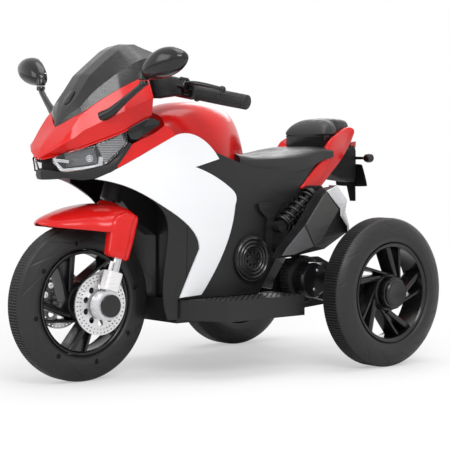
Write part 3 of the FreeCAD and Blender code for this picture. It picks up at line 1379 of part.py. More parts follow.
def plate_bracket():
    """Arm under the tail with a blank plate holder."""
    outline = rear([(-88, 330), (-122, 330), (-122, 290), (-134, 255), (-148, 176), (-142, 175),
                    (-126, 248), (-108, 286), (-88, 290)])
    arm = side_prism(chain(outline), -14, 14)
    sheet = side_prism(chain(rear([(-134, 252), (-142, 210), (-145, 210), (-137, 252)])), -55, 55)
    above = side_prism(band(lift(tail_deck_line, -SNUG), 60), -150, 150)
    return arm.fuse(sheet).removeSplitter().cut(above)


keep("plate_bracket", feature("plate_bracket", plate_bracket()))
light_runs = chain(rear([(-122, 302), (-138, 304), (-137, 291), (-122, 291)]))
light = side_prism(light_runs, -18, 18)
keep("tail_light", feature("tail_light", light))
signal_x, signal_z = rear([(-128, 268)])[0]
stalk = Part.makeCylinder(3.5, 48, Vector(signal_x, 14, signal_z), Vector(0, 1, 0))
bulb = Part.makeSphere(10, Vector(signal_x, 66, signal_z))
pair("turn_signals", feature("turn_signal", stalk.fuse(bulb).removeSplitter()))

# Check and write

doc.recompute()
for obj in doc.Objects:
    if "Invalid" in obj.State or "Error" in obj.State:
        raise RuntimeError(obj.Name + " did not build")
os.makedirs("parts", exist_ok=True)
for label, obj in parts.items():
    shape = obj.Shape
    if not shape.isValid() or not shape.Solids:
        raise RuntimeError(label + " is not a closed solid")
    print(label, len(shape.Solids), "solids", round(shape.Volume / 1000, 1), "cm3")
    shape.exportStep(f"parts/{label}.step")
print(len(parts), "sub-parts written")
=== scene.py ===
# %% Load the frame
import math

import bmesh
import bpy
import numpy as np
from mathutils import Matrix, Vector


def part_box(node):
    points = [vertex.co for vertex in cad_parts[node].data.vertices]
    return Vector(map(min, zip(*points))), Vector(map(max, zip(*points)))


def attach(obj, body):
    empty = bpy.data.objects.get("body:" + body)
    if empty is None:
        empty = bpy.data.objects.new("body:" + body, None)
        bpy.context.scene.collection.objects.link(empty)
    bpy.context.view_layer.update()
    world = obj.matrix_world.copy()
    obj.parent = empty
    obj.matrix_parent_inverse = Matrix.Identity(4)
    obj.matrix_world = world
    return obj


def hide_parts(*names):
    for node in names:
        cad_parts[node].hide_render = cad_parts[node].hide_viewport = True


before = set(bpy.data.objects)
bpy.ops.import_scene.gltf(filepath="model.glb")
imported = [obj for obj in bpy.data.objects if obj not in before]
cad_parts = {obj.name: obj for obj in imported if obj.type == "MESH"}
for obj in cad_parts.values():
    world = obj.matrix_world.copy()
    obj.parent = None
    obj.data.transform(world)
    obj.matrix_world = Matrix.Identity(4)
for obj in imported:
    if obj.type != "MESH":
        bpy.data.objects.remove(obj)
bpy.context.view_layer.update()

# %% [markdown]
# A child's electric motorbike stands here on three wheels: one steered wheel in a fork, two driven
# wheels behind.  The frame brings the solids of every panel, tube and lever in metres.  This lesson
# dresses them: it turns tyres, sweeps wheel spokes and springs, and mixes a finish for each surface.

MM = 0.001

# %% [markdown]
# A curved piece is a grid of points: its rows run one way over the surface, its columns the other.
# A mesh could be modelled corner by corner, but a grid worked out from a formula stays even and can be
# changed by one number.  The helper below joins neighbouring points into faces, welds the seams and
# turns every face outwards.

# %% Grids become meshes
WELD = 0.01 * MM


def grid_faces(rows, columns, close_rows, close_columns):
    """Each face joins a point with its neighbours in the next row and the next column."""
    row = np.arange(rows if close_rows else rows - 1)
    column = np.arange(columns if close_columns else columns - 1)
    r, c = (a.ravel() for a in np.meshgrid(row, column, indexing="ij"))
    r_next, c_next = (r + 1) % rows, (c + 1) % columns
    corners = [r * columns + c, r_next * columns + c, r_next * columns + c_next, r * columns + c_next]
    return np.stack(corners, axis=1)


def make_piece(name, grids, finish, replaced=(), sharp=40, body="chassis"):
    """One object from grids of points; each grid is (points, rows closed, columns closed)."""
    points, faces, start = [], [], 0
    for grid, close_rows, close_columns in grids:
        rows, columns = grid.shape[:2]
        points.append(grid.reshape(-1, 3))
        faces.append(grid_faces(rows, columns, close_rows, close_columns) + start)
        start += rows * columns
    mesh = bpy.data.meshes.new(name)
    mesh.from_pydata(np.concatenate(points).tolist(), [], np.concatenate(faces).tolist())
    shape = bmesh.new()
    shape.from_mesh(mesh)
    bmesh.ops.remove_doubles(shape, verts=shape.verts, dist=WELD)
    bmesh.ops.recalc_face_normals(shape, faces=shape.faces)
    shape.to_mesh(mesh)
    shape.free()
    mesh.polygons.foreach_set("use_smooth", np.ones(len(mesh.polygons), dtype=bool))
    mesh.set_sharp_from_angle(angle=math.radians(sharp))
    mesh.materials.append(finish)
    piece = bpy.data.objects.new(name, mesh)
    bpy.context.scene.collection.objects.link(piece)
    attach(piece, body)
    if replaced:
        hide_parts(*replaced)
    print(name, len(mesh.polygons), "faces, rides on", body)
    return piece


# %% [markdown]
# A finish is a tree of nodes.  It could be wired by hand in the shader editor; written down, a tree can be
# built again at any time.  One helper adds a node with its values and links, one does sums, and one opens
# an empty group with a socket on each side.

# %% Nodes and groups


def add_node(tree, kind, links=(), **settings):
    """A node with its settings and input values; links are (input name, socket that feeds it)."""
    node = tree.nodes.new("ShaderNode" + kind)
    for label, value in settings.items():
        if hasattr(node, label):
            setattr(node, label, value)
        else:
            node.inputs[label.replace("_", " ")].default_value = value
    for label, socket in links:
        tree.links.new(socket, node.inputs[label])
    return node


def maths(tree, operation, first, second):
    """Result of a sum, product or maximum of two sockets."""
    return add_node(tree, "Math", [(0, first), (1, second)], operation=operation).outputs[0]


def new_group(name, given, value, result):
    """Empty group with one value in and one out; gives its tree, Object coordinates and both sockets."""
    group = bpy.data.node_groups.new(name, "ShaderNodeTree")
    group.interface.new_socket(given, in_out="INPUT", socket_type="NodeSocketFloat").default_value = value
    group.interface.new_socket(result, in_out="OUTPUT", socket_type="NodeSocketFloat")
    source, sink = group.nodes.new("NodeGroupInput"), group.nodes.new("NodeGroupOutput")
    place = add_node(group, "TexCoord").outputs["Object"]
    return group, place, source.outputs[given], sink.inputs[result]


# %% [markdown]
# Nearly every surface on this toy is moulded plastic.  Real mouldings are never one flat colour: the tool
# leaves a fine grain, handling leaves smoother and duller spots, and dust settles on what faces up.  A
# painted picture could show all that; here each effect is a node group that gives out a value only, so
# every finish can place it with its own sizes.

# %% Shared effects


def grain_group():
    """Tool grain: fine noise added to rounded cells, as a height."""
    group, place, size, height = new_group("tool_grain", "Size", 900.0, "Height")
    noise = add_node(group, "TexNoise", [("Vector", place), ("Scale", size)], Detail=3.0)
    cells = add_node(group, "TexVoronoi", [("Vector", place), ("Scale", size)])
    group.links.new(maths(group, "ADD", noise.outputs["Fac"], cells.outputs["Distance"]), height)
    return group


def handling_group():
    """Handling marks: broad soft clouds times fine streaks, made steeper, from 0 to 1."""
    group, place, size, mask = new_group("handling_marks", "Size", 12.0, "Mask")
    clouds = add_node(group, "TexNoise", [("Vector", place), ("Scale", size)], Detail=5.0, Roughness=0.6)
    stretch = add_node(group, "Mapping", [("Vector", place)], Scale=(1.0, 6.0, 14.0))
    streaks = add_node(group, "TexNoise", [("Vector", stretch.outputs[0]), ("Scale", size)], Detail=6.0)
    product = maths(group, "MULTIPLY", clouds.outputs["Fac"], streaks.outputs["Fac"])
    steep = add_node(group, "MapRange", [("Value", product)], interpolation_type="SMOOTHSTEP",
                     From_Min=0.12, From_Max=0.42)
    group.links.new(steep.outputs[0], mask)
    return group


def dust_group():
    """Dust: grows where the surface faces up, broken by small noise, times an amount."""
    group, place, amount, mask = new_group("settled_dust", "Amount", 0.2, "Mask")
    normal = add_node(group, "NewGeometry").outputs["Normal"]
    height = add_node(group, "SeparateXYZ", [(0, normal)]).outputs["Z"]
    upward = add_node(group, "MapRange", [("Value", height)], interpolation_type="SMOOTHSTEP", From_Min=0.3)
    speckle = add_node(group, "TexNoise", [("Vector", place)], Scale=55.0, Detail=6.0)
    broken = maths(group, "MULTIPLY", upward.outputs[0], speckle.outputs["Fac"])
    group.links.new(maths(group, "MULTIPLY", broken, amount), mask)
    return group


GRAIN = grain_group()
HANDLING = handling_group()
DUST = dust_group()
print("effects:", GRAIN.name, HANDLING.name, DUST.name)

# %% [markdown]
# Red, white and black shells, seat skin, rubber and metal differ in colour, gloss and grain, but all show
# the same effects.  Each could have a tree of its own; one function for all of them leaves only these
# values to be chosen.

# %% Moulded surfaces
MARK_SIZE = 14.0
GRAIN_HEIGHT = 0.2 * MM
COAT_ROUGHNESS = 0.04
DUST_COLOUR = (0.42, 0.40, 0.38, 1)


def moulded(name, colour, rough, grain=0.0, grain_size=900.0, metal=0.0, coat=0.0, dust=0.0, vary=0.10,
            shine=0.5, drift=0.25):
    """Moulded or cast surface: colour and gloss drift with handling, the grain gives a fine bump."""
    material = bpy.data.materials.new(name)
    material.use_nodes = True
    tree = material.node_tree
    shader = tree.nodes["Principled BSDF"]
    marks = add_node(tree, "Group", node_tree=HANDLING, Size=MARK_SIZE).outputs["Mask"]
    darker, lighter = np.array(colour) * (1 - vary), np.minimum(np.array(colour) * (1 + vary), 1)
    tint = add_node(tree, "Mix", [("Factor", marks)], data_type="RGBA", A=(*darker, 1), B=(*lighter, 1))
    if dust:
        film = add_node(tree, "Group", node_tree=DUST, Amount=dust).outputs["Mask"]
        tint = add_node(tree, "Mix", [("Factor", film), ("A", tint.outputs["Result"])], data_type="RGBA",
                        B=DUST_COLOUR)
    tree.links.new(tint.outputs["Result"], shader.inputs["Base Color"])
    gloss = add_node(tree, "MapRange", [("Value", marks)], To_Min=rough * (1 - drift),
                     To_Max=min(rough * (1 + drift), 1))
    tree.links.new(gloss.outputs[0], shader.inputs["Roughness"])
    for label, value in (("Metallic", metal), ("Specular IOR Level", shine), ("Coat Weight", coat),
                         ("Coat Roughness", COAT_ROUGHNESS)):
        shader.inputs[label].default_value = value
    if grain:
        height = add_node(tree, "Group", node_tree=GRAIN, Size=grain_size).outputs["Height"]
        bump = add_node(tree, "Bump", [("Height", height)], Strength=grain, Distance=GRAIN_HEIGHT)
        tree.links.new(bump.outputs["Normal"], shader.inputs["Normal"])
    return material


# %% [markdown]
# Lens and screen let light pass.  They could get a tree of their own; a moulded finish whose transmission
# is opened keeps the same effects.

# %% Clear plastic
PLASTIC_IOR = 1.45


def clear(name, colour, rough, see_through=1.0):
    """Clear or smoked plastic: light passes and takes the colour with it."""
    material = moulded(name, colour, rough, vary=0.03)
    shader = material.node_tree.nodes["Principled BSDF"]
    shader.inputs["Transmission Weight"].default_value = see_through
    shader.inputs["IOR"].default_value = PLASTIC_IOR
    return material


# %% [markdown]
# The colours are read from the photograph and written as linear values, at which they render about
# as they look there under plain light.  A lamp could lift a colour that comes out too dark; the value
# itself is changed instead, so that it holds under other light too.  Shells are glossy and even, working
# parts duller and grainier.

# %% Finishes
RED = moulded("gloss red shell", (0.64, 0.010, 0.009), 0.22, grain=0.015, coat=0.12, vary=0.03, shine=0.3,
              drift=0.06)
WHITE = moulded("gloss white shell", (0.84, 0.85, 0.87), 0.24, grain=0.015, coat=0.1, vary=0.006, shine=0.35,
                drift=0.05)
BLACK = moulded("satin black shell", (0.013, 0.013, 0.014), 0.42, grain=0.08, dust=0.015, shine=0.35)
GLOSS_BLACK = moulded("gloss black moulding", (0.007, 0.007, 0.008), 0.20, grain=0.03, shine=0.45)
DULL_BLACK = moulded("dull black moulding", (0.007, 0.007, 0.007), 0.62, grain=0.05, shine=0.15)
SEAT_BLACK = moulded("seat skin", (0.020, 0.020, 0.021), 0.44, grain=0.2, grain_size=700.0, dust=0.02,
                     shine=0.4)
TYRE = moulded("tyre plastic", (0.015, 0.015, 0.016), 0.46, grain=0.10, dust=0.02, shine=0.4)
RUBBER = moulded("grip rubber", (0.010, 0.010, 0.011), 0.55, grain=0.15, shine=0.4)
STEEL = moulded("satin disc metal", (0.72, 0.72, 0.73), 0.30, grain=0.012, metal=0.8, vary=0.04)
CHROME = moulded("bright chrome", (0.62, 0.62, 0.64), 0.10, metal=1.0, vary=0.04)
SILVER = moulded("silver moulding", (0.66, 0.66, 0.68), 0.32, grain=0.01, metal=0.25, vary=0.02)
PALE_SILVER = moulded("pale silver moulding", (0.78, 0.77, 0.77), 0.34, grain=0.01, metal=0.1, vary=0.02)
GUNMETAL = moulded("dark silencer", (0.012, 0.011, 0.012), 0.46, grain=0.08, shine=0.3)
SILENCER_REAR = moulded("silencer rear panel", (0.052, 0.054, 0.051), 0.42, grain=0.08, metal=0.15)
SILENCER_PANEL = moulded("silencer side panel", (0.088, 0.086, 0.090), 0.42, grain=0.10, metal=0.15)
SMOKE = clear("smoked screen", (0.022, 0.021, 0.022), 0.24, see_through=0.3)
LENS = clear("clear lens", (0.93, 0.94, 0.95), 0.02)
LAMP = moulded("lamp strip", (0.82, 0.84, 0.86), 0.25, vary=0.03)
REFLECTOR = moulded("lamp reflector", (0.13, 0.13, 0.135), 0.32, metal=0.3)
MIRROR = moulded("mirror glass", (0.80, 0.82, 0.84), 0.03, metal=1.0, vary=0.02)
NYLON = moulded("nylon bush", (0.62, 0.60, 0.55), 0.5)
RED_LENS = moulded("red lens", (0.42, 0.010, 0.012), 0.12, coat=0.3)
AMBER = moulded("dark amber lens", (0.012, 0.008, 0.006), 0.18, coat=0.2)
print("finishes made:", len(bpy.data.materials))

# %% [markdown]
# Panels, tubes and levers keep their solids from the frame.  Their faces could be given a material one by
# one; a finish put into the slots that the solid came with covers all of them and leaves the mesh alone.

# %% Dress the solids


def dress(finish, *nodes):
    """Puts one finish into every material slot of the named solids."""
    for node in nodes:
        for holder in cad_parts[node].material_slots:
            holder.material = finish


dress(RED, "front_fender", "cheek_panels", "tank_cover", "nose_cowl", "tail_cowl")
dress(WHITE, "side_fairings")
dress(BLACK, "inner_fairings", "body_shell_left", "body_shell_right", "body_core", "floor_tub",
      "headlight_housing", "plate_bracket", "charge_inlet", "footboards", "side_trims", "dashboard",
      "backrest_base", "drive_units", "battery", "steering_stem", "frame_spine", "mirror_stems",
      "shock_dampers", "accelerator_pedal")
dress(GLOSS_BLACK, "handlebar", "lever_clamps", "brake_lever_left", "brake_lever_right", "power_button",
      "direction_switch", "hub_cap_left", "hub_cap_right", "front_rim", "rear_rim_left", "rear_rim_right",
      "backrest_lid", "mirror_head_left", "mirror_head_right", "front_axle", "shock_springs")
dress(SEAT_BLACK, "seat")
dress(TYRE, "front_tyre", "rear_tyre_left", "rear_tyre_right")
dress(RUBBER, "grips")
dress(STEEL, "brake_discs", "rear_axle")
dress(CHROME, "fork_tubes")
dress(SILVER, "fork_ends", "exhaust_caps")
dress(GUNMETAL, "exhausts")
dress(SMOKE, "windscreen")
dress(LENS, "headlight_lenses")
dress(LAMP, "headlight_lamps")
dress(MIRROR, "mirror_glass_left", "mirror_glass_right")
dress(NYLON, "steering_bushes")
dress(RED_LENS, "tail_light")
dress(AMBER, "turn_signals")
print("solids dressed:", len(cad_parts))

# %% [markdown]
# A piece that stands for a solid has to fill the same place.  Its size could be typed in; asking the frame
# for the box of the solid keeps it right when the solid changes.  A line that is given by a few corners is
# spread into even steps, because a grid with even steps shades smoothly.

# %% Boxes and even steps


def node_centre(node):
    """Middle of a node's box and half of its size."""
    low, high = (np.array(corner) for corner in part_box(node))
    return (low + high) / 2, (high - low) / 2


def spread_evenly(points, count, passes=1):
    """Points at equal steps along a line of straight runs, then eased a few times by their neighbours."""
    points = np.asarray(points, float)
    steps = np.r_[0, np.cumsum(np.linalg.norm(np.diff(points, axis=0), axis=1))]
    at = np.linspace(0, steps[-1], count)
    even = np.stack([np.interp(at, steps, points[:, k]) for k in range(points.shape[1])], axis=1)
    for _ in range(passes):
        even[1:-1] = (even[:-2] + 2 * even[1:-1] + even[2:]) / 4
    return even


print("front tyre, half of its box in metres:", node_centre("front_tyre")[1].round(3))

# %% [markdown]
# Seen in section, a tyre runs from its tread over a round shoulder to the inner edge.  A curve could be
# drawn by hand for each width; a list of drops below the tread serves all of them, and the other half is
# mirrored.

# %% Tyre section


def tyre_section(radius, width, band, rows):
    """Half a section from the tread over the shoulder to the inner edge, mirrored: (along, radius)."""
    drop = [(0, 0), (band, 0), (band + 1 * MM, 2 * MM), (band + 4 * MM, 4 * MM),
            (width - 5 * MM, 13 * MM), (width - 1.5 * MM, 24 * MM), (width, 35 * MM),
            (width - 1.5 * MM, 44 * MM), (width - 5 * MM, 48.5 * MM), (width - 10 * MM, 49.6 * MM)]
    right = np.array(drop) * [1, -1] + [0, radius]
    return spread_evenly(np.concatenate([right[::-1] * [-1, 1], right[1:]]), rows)


# %% [markdown]
# The tyres are hollow mouldings with a ribbed running band, round shoulders and shallow curved grooves
# in the side.  A torus with a bump map would look flat at its outline, so the ribs are real: the section
# is carried round the axle, and every radius is lowered where a groove crosses it.

# %% Tyres
FRONT_BAND, REAR_BAND = 14 * MM, 18 * MM
RIB_COUNT = 170
STEPS_PER_RIB = 5
RIB_DEPTH = 2.6 * MM
GROOVE_COUNT = 15
GROOVE_DEPTH = 1.2 * MM
GROOVE_WIDTH = 1.2 * MM
GROOVE_TOP, GROOVE_FOOT = 5 * MM, 36 * MM
FADE_IN, FADE_OUT = 6 * MM, 8 * MM
LEAN_HEIGHT = 34 * MM
SCREW_COUNT = 8
SCREW_CIRCLE = 115 * MM
SCREW_RADIUS = 4.4 * MM
SCREW_DEPTH = 7 * MM
SCREW_SHIFT = 0.2


def tyre_grid(node, band, rows, screws):
    """Section (along the axle, radius) turned round the axle.

    The radius drops by the rib depth where a square-edged sine round the band is high, and by the side
    groove depth on lines whose angle leans with the distance from the tread; small round pits are pushed
    in along the axle on a circle of screws."""
    centre, (_, width, radius) = node_centre(node)
    section = tyre_section(radius, width, band, rows)
    turn = np.linspace(0, 2 * np.pi, RIB_COUNT * STEPS_PER_RIB, endpoint=False)
    along, reach = (np.repeat(section[:, k:k + 1], len(turn), axis=1) for k in (0, 1))
    side = np.sign(along)
    on_band = np.clip((band - np.abs(along)) / MM + 0.5, 0, 1)
    below = radius - reach
    on_side = np.clip((below - GROOVE_TOP) / FADE_IN, 0, 1)
    on_side = on_side * np.clip((GROOVE_FOOT - below) / FADE_OUT, 0, 1)
    lean = side * (below / LEAN_HEIGHT) ** 1.5
    cell = (turn * GROOVE_COUNT / (2 * np.pi) + lean) % 1 - 0.5
    off_line = np.abs(cell) * 2 * np.pi * reach / GROOVE_COUNT
    groove = GROOVE_DEPTH * np.exp(-(off_line / GROOVE_WIDTH) ** 2) * on_side
    reach = reach - groove - RIB_DEPTH * on_band * np.clip(0.5 + 1.4 * np.sin(RIB_COUNT * turn), 0, 1)
    along = along - side * groove * 0.7
    if screws:
        pitch = 2 * np.pi / SCREW_COUNT
        away = (turn + SCREW_SHIFT) % pitch - pitch / 2
        off_screw = np.hypot(away * SCREW_CIRCLE, reach - SCREW_CIRCLE)
        along = along - side * SCREW_DEPTH * np.clip(1.5 - 1.5 * (off_screw / SCREW_RADIUS) ** 4, 0, 1)
    return centre + np.stack([reach * np.sin(turn), along, reach * np.cos(turn)], axis=-1)


for node, body, band, rows, screws in (("front_tyre", "front_wheel", FRONT_BAND, 100, True),
                                       ("rear_tyre_left", "rear_wheel_left", REAR_BAND, 72, False),
                                       ("rear_tyre_right", "rear_wheel_right", REAR_BAND, 72, False)):
    grid = tyre_grid(node, band, rows, screws)
    make_piece(node + "_moulded", [(grid, True, True)], TYRE, [node], 60, body)

# %% [markdown]
# Screws, hubs, lids and covers are round.  Blender's Spin could sweep a drawn profile; here the circle is
# written out, because ribs or notches can then be added to the radius of every point.

# %% Turned profiles
ACROSS = np.array([0.0, 1.0, 0.0])


def basis(axis):
    """Two unit directions square to an axis and to each other."""
    axis = np.asarray(axis, float) / np.linalg.norm(axis)
    helper = np.array([0.0, 0.0, 1.0]) if abs(axis[2]) < 0.9 else np.array([1.0, 0.0, 0.0])
    first = np.cross(helper, axis)
    first /= np.linalg.norm(first)
    return axis, first, np.cross(axis, first)


def turned(profile, centre, axis=ACROSS, steps=96, relief=0.0):
    """Profile of (along the axis, radius) turned round an axis; relief is added to every radius."""
    axis, first, second = basis(axis)
    turn = np.linspace(0, 2 * np.pi, steps, endpoint=False)
    spoke = np.outer(np.cos(turn), first) + np.outer(np.sin(turn), second)
    radius = profile[:, 1, None] + relief
    return centre + profile[:, None, :1] * axis + radius[..., None] * spoke


def with_ends(grid):
    """The same grid with its first and last row drawn together to a point, which closes a tube."""
    first = np.broadcast_to(grid[0].mean(0), grid[:1].shape)
    last = np.broadcast_to(grid[-1].mean(0), grid[-1:].shape)
    return np.concatenate([first, grid, last])


def lathe(profile, centre, axis=ACROSS, steps=96):
    """Closed solid from a profile in millimetres."""
    return with_ends(turned(np.array(profile) * MM, centre, axis, steps))


def tubes(*grids):
    """Grids whose last column joins the first."""
    return [(grid, False, True) for grid in grids]


# %% [markdown]
# Screws in small pits hold the two shells of the front tyre together.  Copies of one head could be set out
# by hand; here a turned head stands at every angle of the circle, on both sides.

# %% Screws of the front tyre
SCREW_HEAD = [(-5, 4.2), (-1.5, 4.4), (-0.8, 3.6), (-0.8, 0)]
tyre_centre, tyre_half = node_centre("front_tyre")
screws = []
for side in (-1, 1):
    for turn in (np.arange(SCREW_COUNT) + 0.5) * 2 * np.pi / SCREW_COUNT - SCREW_SHIFT:
        spot = tyre_centre + np.array([SCREW_CIRCLE * np.sin(turn), side * tyre_half[1],
                                       SCREW_CIRCLE * np.cos(turn)])
        screws.append(lathe(SCREW_HEAD, spot, side * ACROSS, 18))
make_piece("front_tyre_screws", tubes(*screws), DULL_BLACK, body="front_wheel")

# %% [markdown]
# Blades, springs, feet and arms keep nearly one cross-section all along.  A bevelled curve could draw them,
# but its section can't grow in one direction alone, so a rounded section of points is carried along a path.

# %% Sections carried along a path


def pillow(width, height, square=5.0, count=24):
    """Rounded rectangle: cosine and sine raised to a small power fill the corners of the box."""
    turn = np.linspace(0, 2 * np.pi, count, endpoint=False)
    c, s = np.cos(turn), np.sin(turn)
    power = 2 / square
    u = np.sign(c) * np.abs(c) ** power * width / 2
    v = np.sign(s) * np.abs(s) ** power * height / 2
    return np.stack([u, v], axis=1)


def carried(path, section, sideways, upwards):
    """Section of (sideways, up) points carried along a path: path + sideways * s + upwards * u."""
    section = np.broadcast_to(section, (len(path),) + np.shape(section)[-2:])
    sideways = np.broadcast_to(sideways, path.shape)
    upwards = np.broadcast_to(upwards, path.shape)
    return path[:, None] + sideways[:, None] * section[..., :1] + upwards[:, None] * section[..., 1:]


# %% [markdown]
# Straight blades leave the collar of each wheel at a tangent and end in its barrel.  An array of copies
# turned about the axle could set them out; here a blade is a rounded bar between a spot on the collar and
# one on the barrel, so that both ends meet what carries them.

# %% Wheel blades
BLADE_DEPTH = 34 * MM
BLADE_GROWTH = 0.25 * np.array([1.0, 0.4])


def wheel_spot(centre, radius, angle):
    """Point of the wheel plane; the angle in degrees starts at the top and grows towards the front."""
    turn = np.radians(angle)
    return centre + radius * np.array([np.sin(turn), 0.0, np.cos(turn)])


def blade_grid(start, end, thick):
    """Rounded bar from the collar to the barrel, a little deeper and thicker towards the barrel."""
    t = np.linspace(0, 1, 9)[:, None]
    path = start + (end - start) * t
    way = (end - start) / np.linalg.norm(end - start)
    section = pillow(thick, BLADE_DEPTH, square=6.0)[None] * (1 + t[:, :, None] * BLADE_GROWTH)
    return with_ends(carried(path, section, np.cross(ACROSS, way), ACROSS))


# %% [markdown]
# Each wheel centre is one deep gloss moulding: a barrel inside the tyre, a round collar and pairs of
# blades.  It could be cut from a disc, but cuts leave sharp edges.  Barrel and collar are turned, and the
# blades are set out at even angles.  The front wheel and the right rear wheel have the opposite hand of the
# left rear one.

# %% Wheel centres
PAIRS = 5
COLLAR = 40 * MM
COLLAR_HALF = 20 * MM
HUB = 22.5 * MM
# Radius and angle of the root, angle of the tip, thickness.
BLADES = ((37 * MM, 3.5, 54.0, 5.5 * MM), (38 * MM, 37.0, 74.0, 11 * MM))


def barrel_profile(radius, half):
    """Closed section of the barrel: a ring with a rolled lip at both edges."""
    lip = np.array([half, radius]) - np.array([(9, 6), (3, 7.5), (0, 5), (-1, 2.5), (0, 0)]) * MM
    return np.concatenate([lip, lip[::-1] * [-1, 1]])


def collar_profile(hub_half):
    """Hub barrel, a step up to the collar with a chamfer on each side, closed on the axle."""
    edge = np.array([COLLAR_HALF, COLLAR]) - np.array([(6, 0), (0, 4), (0, 8), (3, 10)]) * MM
    right = np.concatenate([edge, [(COLLAR_HALF - 3 * MM, HUB), (hub_half, HUB), (hub_half, 0)]])
    return np.concatenate([right[::-1] * [-1, 1], right])


def wheel_centre(label, node, tyre, body, hand, phase):
    """Barrel and collar turned about the axle, with the pairs of blades set out at even angles."""
    centre, half = node_centre(node)
    radius = half[0] - 0.3 * MM
    barrel = turned(barrel_profile(radius, node_centre(tyre)[1][1] - 5 * MM), centre, steps=128)
    grids = [(barrel, True, True), *tubes(turned(collar_profile(half[1]), centre))]
    for pair_angle in phase + np.arange(PAIRS) * 360 / PAIRS:
        for root, root_angle, tip_angle, thick in BLADES:
            start = wheel_spot(centre, root, pair_angle + hand * root_angle)
            end = wheel_spot(centre, radius - 4 * MM, pair_angle + hand * tip_angle)
            grids += tubes(blade_grid(start, end, thick))
    make_piece(label, grids, GLOSS_BLACK, [node], 35, body)


wheel_centre("front_wheel_centre", "front_rim", "front_tyre", "front_wheel", -1, 90)
wheel_centre("rear_wheel_centre_left", "rear_rim_left", "rear_tyre_left", "rear_wheel_left", 1, 0)
wheel_centre("rear_wheel_centre_right", "rear_rim_right", "rear_tyre_right", "rear_wheel_right", -1, 0)

# %% [markdown]
# The rear hub caps are short round lids with a notched skirt, pressed over the end of the axle.  Notches
# could be cut out of a cylinder, but cuts leave uneven faces.  A turned profile gives the lid, and lowering
# the radius of the skirt at even angles gives the notches.

# %% Rear hub caps
CAP_NOTCHES = 6
CAP_STEPS = 144
NOTCH_DEPTH = 2.5 * MM
SKIRT_DEPTH = 8 * MM
SKIRT_END = 9.5 * MM
# Along the axle, and beyond the radius of the cap; the last point lies on the axle.
CAP = np.array([(0, 2), (6, 4), (9, 3), (10, -1), (14, -0.5), (15.5, -1.5), (17, -4), (17, -8), (16.4, -10),
                (16.2, 0)]) * MM


def hub_cap(side, sign):
    """Lid turned about the axle; the radius drops in the skirt where a steep cosine is high."""
    centre, (_, depth, radius) = node_centre("hub_cap_" + side)
    profile = CAP.copy()
    profile[:-1, 1] += radius
    turn = np.linspace(0, 2 * np.pi, CAP_STEPS, endpoint=False)
    notch = np.clip(3 * np.cos(CAP_NOTCHES * turn) - 2.2, 0, 1) * NOTCH_DEPTH
    skirt = (profile[:, :1] < SKIRT_END) * 1.0
    foot = centre - sign * (depth + SKIRT_DEPTH) * ACROSS
    grid = with_ends(turned(profile, foot, ACROSS * sign, CAP_STEPS, -skirt * notch))
    make_piece("hub_cap_" + side + "_lid", tubes(grid), GLOSS_BLACK, ["hub_cap_" + side], 30,
               "rear_wheel_" + side)


hub_cap("left", 1)
hub_cap("right", -1)

# %% [markdown]
# Some pieces have to lie on the axis of a solid.  Its numbers could be copied from the drawing; reading the
# points keeps them right when the solid changes, and the longest direction of the points is the axis.  Most
# pieces come in pairs, so one side is worked out and mirrored.

# %% Axis of a solid, mirrored pairs


def left_points(node):
    """Corner points of a node on the rider's left side."""
    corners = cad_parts[node].data.vertices
    points = np.empty(len(corners) * 3)
    corners.foreach_get("co", points)
    points = points.reshape(-1, 3)
    return points[points[:, 1] > 0]


def long_axis(points):
    """Middle, unit direction and length of a slim piece, from the main direction of its points."""
    middle = (points.min(0) + points.max(0)) / 2
    way = np.linalg.svd(points - points.mean(0), full_matrices=False)[2][0]
    way = way * np.sign(way[1] if abs(way[1]) > 0.3 else way[2])
    along = (points - middle) @ way
    return middle + way * (along.max() + along.min()) / 2, way, along.max() - along.min()


def mirrored(grid):
    """The same points on the rider's other side: y changes its sign."""
    return grid * np.array([1.0, -1.0, 1.0])


def pair(*grids):
    """Tubes on the rider's left, then the same on the right."""
    return tubes(*grids, *map(mirrored, grids))


print("length of a grip in metres:", round(long_axis(left_points("grips"))[2], 3))

# %% [markdown]
# The grips are soft sleeves with rings all along and fine lengthwise grooves between them.  A smooth tube
# with a bump would do from afar; here rings and grooves are taken from the radius of a turned profile, so
# they show at the outline.

# %% Grips
BAR_END = 13 * MM
GRIP_STEPS = 96
GRIP_RADIUS, GRIP_SWELL = 14.0 * MM, 0.5 * MM
RING_COUNT, RING_DEPTH = 19, 0.7 * MM
FLANGE_HEIGHT = 3.0 * MM
END_ROUNDING = 4 * MM
SLOT_COUNT, SLOT_DEPTH = 16, 0.35 * MM


def grip_grid():
    """Sleeve whose radius has rings along it, grooves round it, a flange inside and a round end."""
    middle, way, length = long_axis(left_points("grips"))
    middle, length = middle + way * BAR_END / 2, length + BAR_END
    at = np.linspace(0, 1, 190)
    sleeve = GRIP_RADIUS + GRIP_SWELL * np.sin(at * np.pi)
    rings = RING_DEPTH * np.clip(1.6 * np.sin(at * 2 * np.pi * RING_COUNT) - 0.5, 0, 1)
    flange = FLANGE_HEIGHT * np.exp(-((at - 0.03) / 0.02) ** 2)
    end = END_ROUNDING * np.clip((at - 0.97) / 0.03, 0, 1) ** 2
    turn = np.linspace(0, 2 * np.pi, GRIP_STEPS, endpoint=False)
    ribbed = ((at > 0.10) & (at < 0.94))[:, None]
    grooves = SLOT_DEPTH * np.clip(np.cos(SLOT_COUNT * turn), 0, 1) * ribbed
    radius = sleeve - rings * ribbed[:, 0] + flange - end
    profile = np.stack([(at - 0.5) * length, radius], axis=1)
    return with_ends(turned(profile, middle, way, GRIP_STEPS, -grooves))


make_piece("grip_sleeves", pair(grip_grid()), RUBBER, ["grips"], 60, "steering")

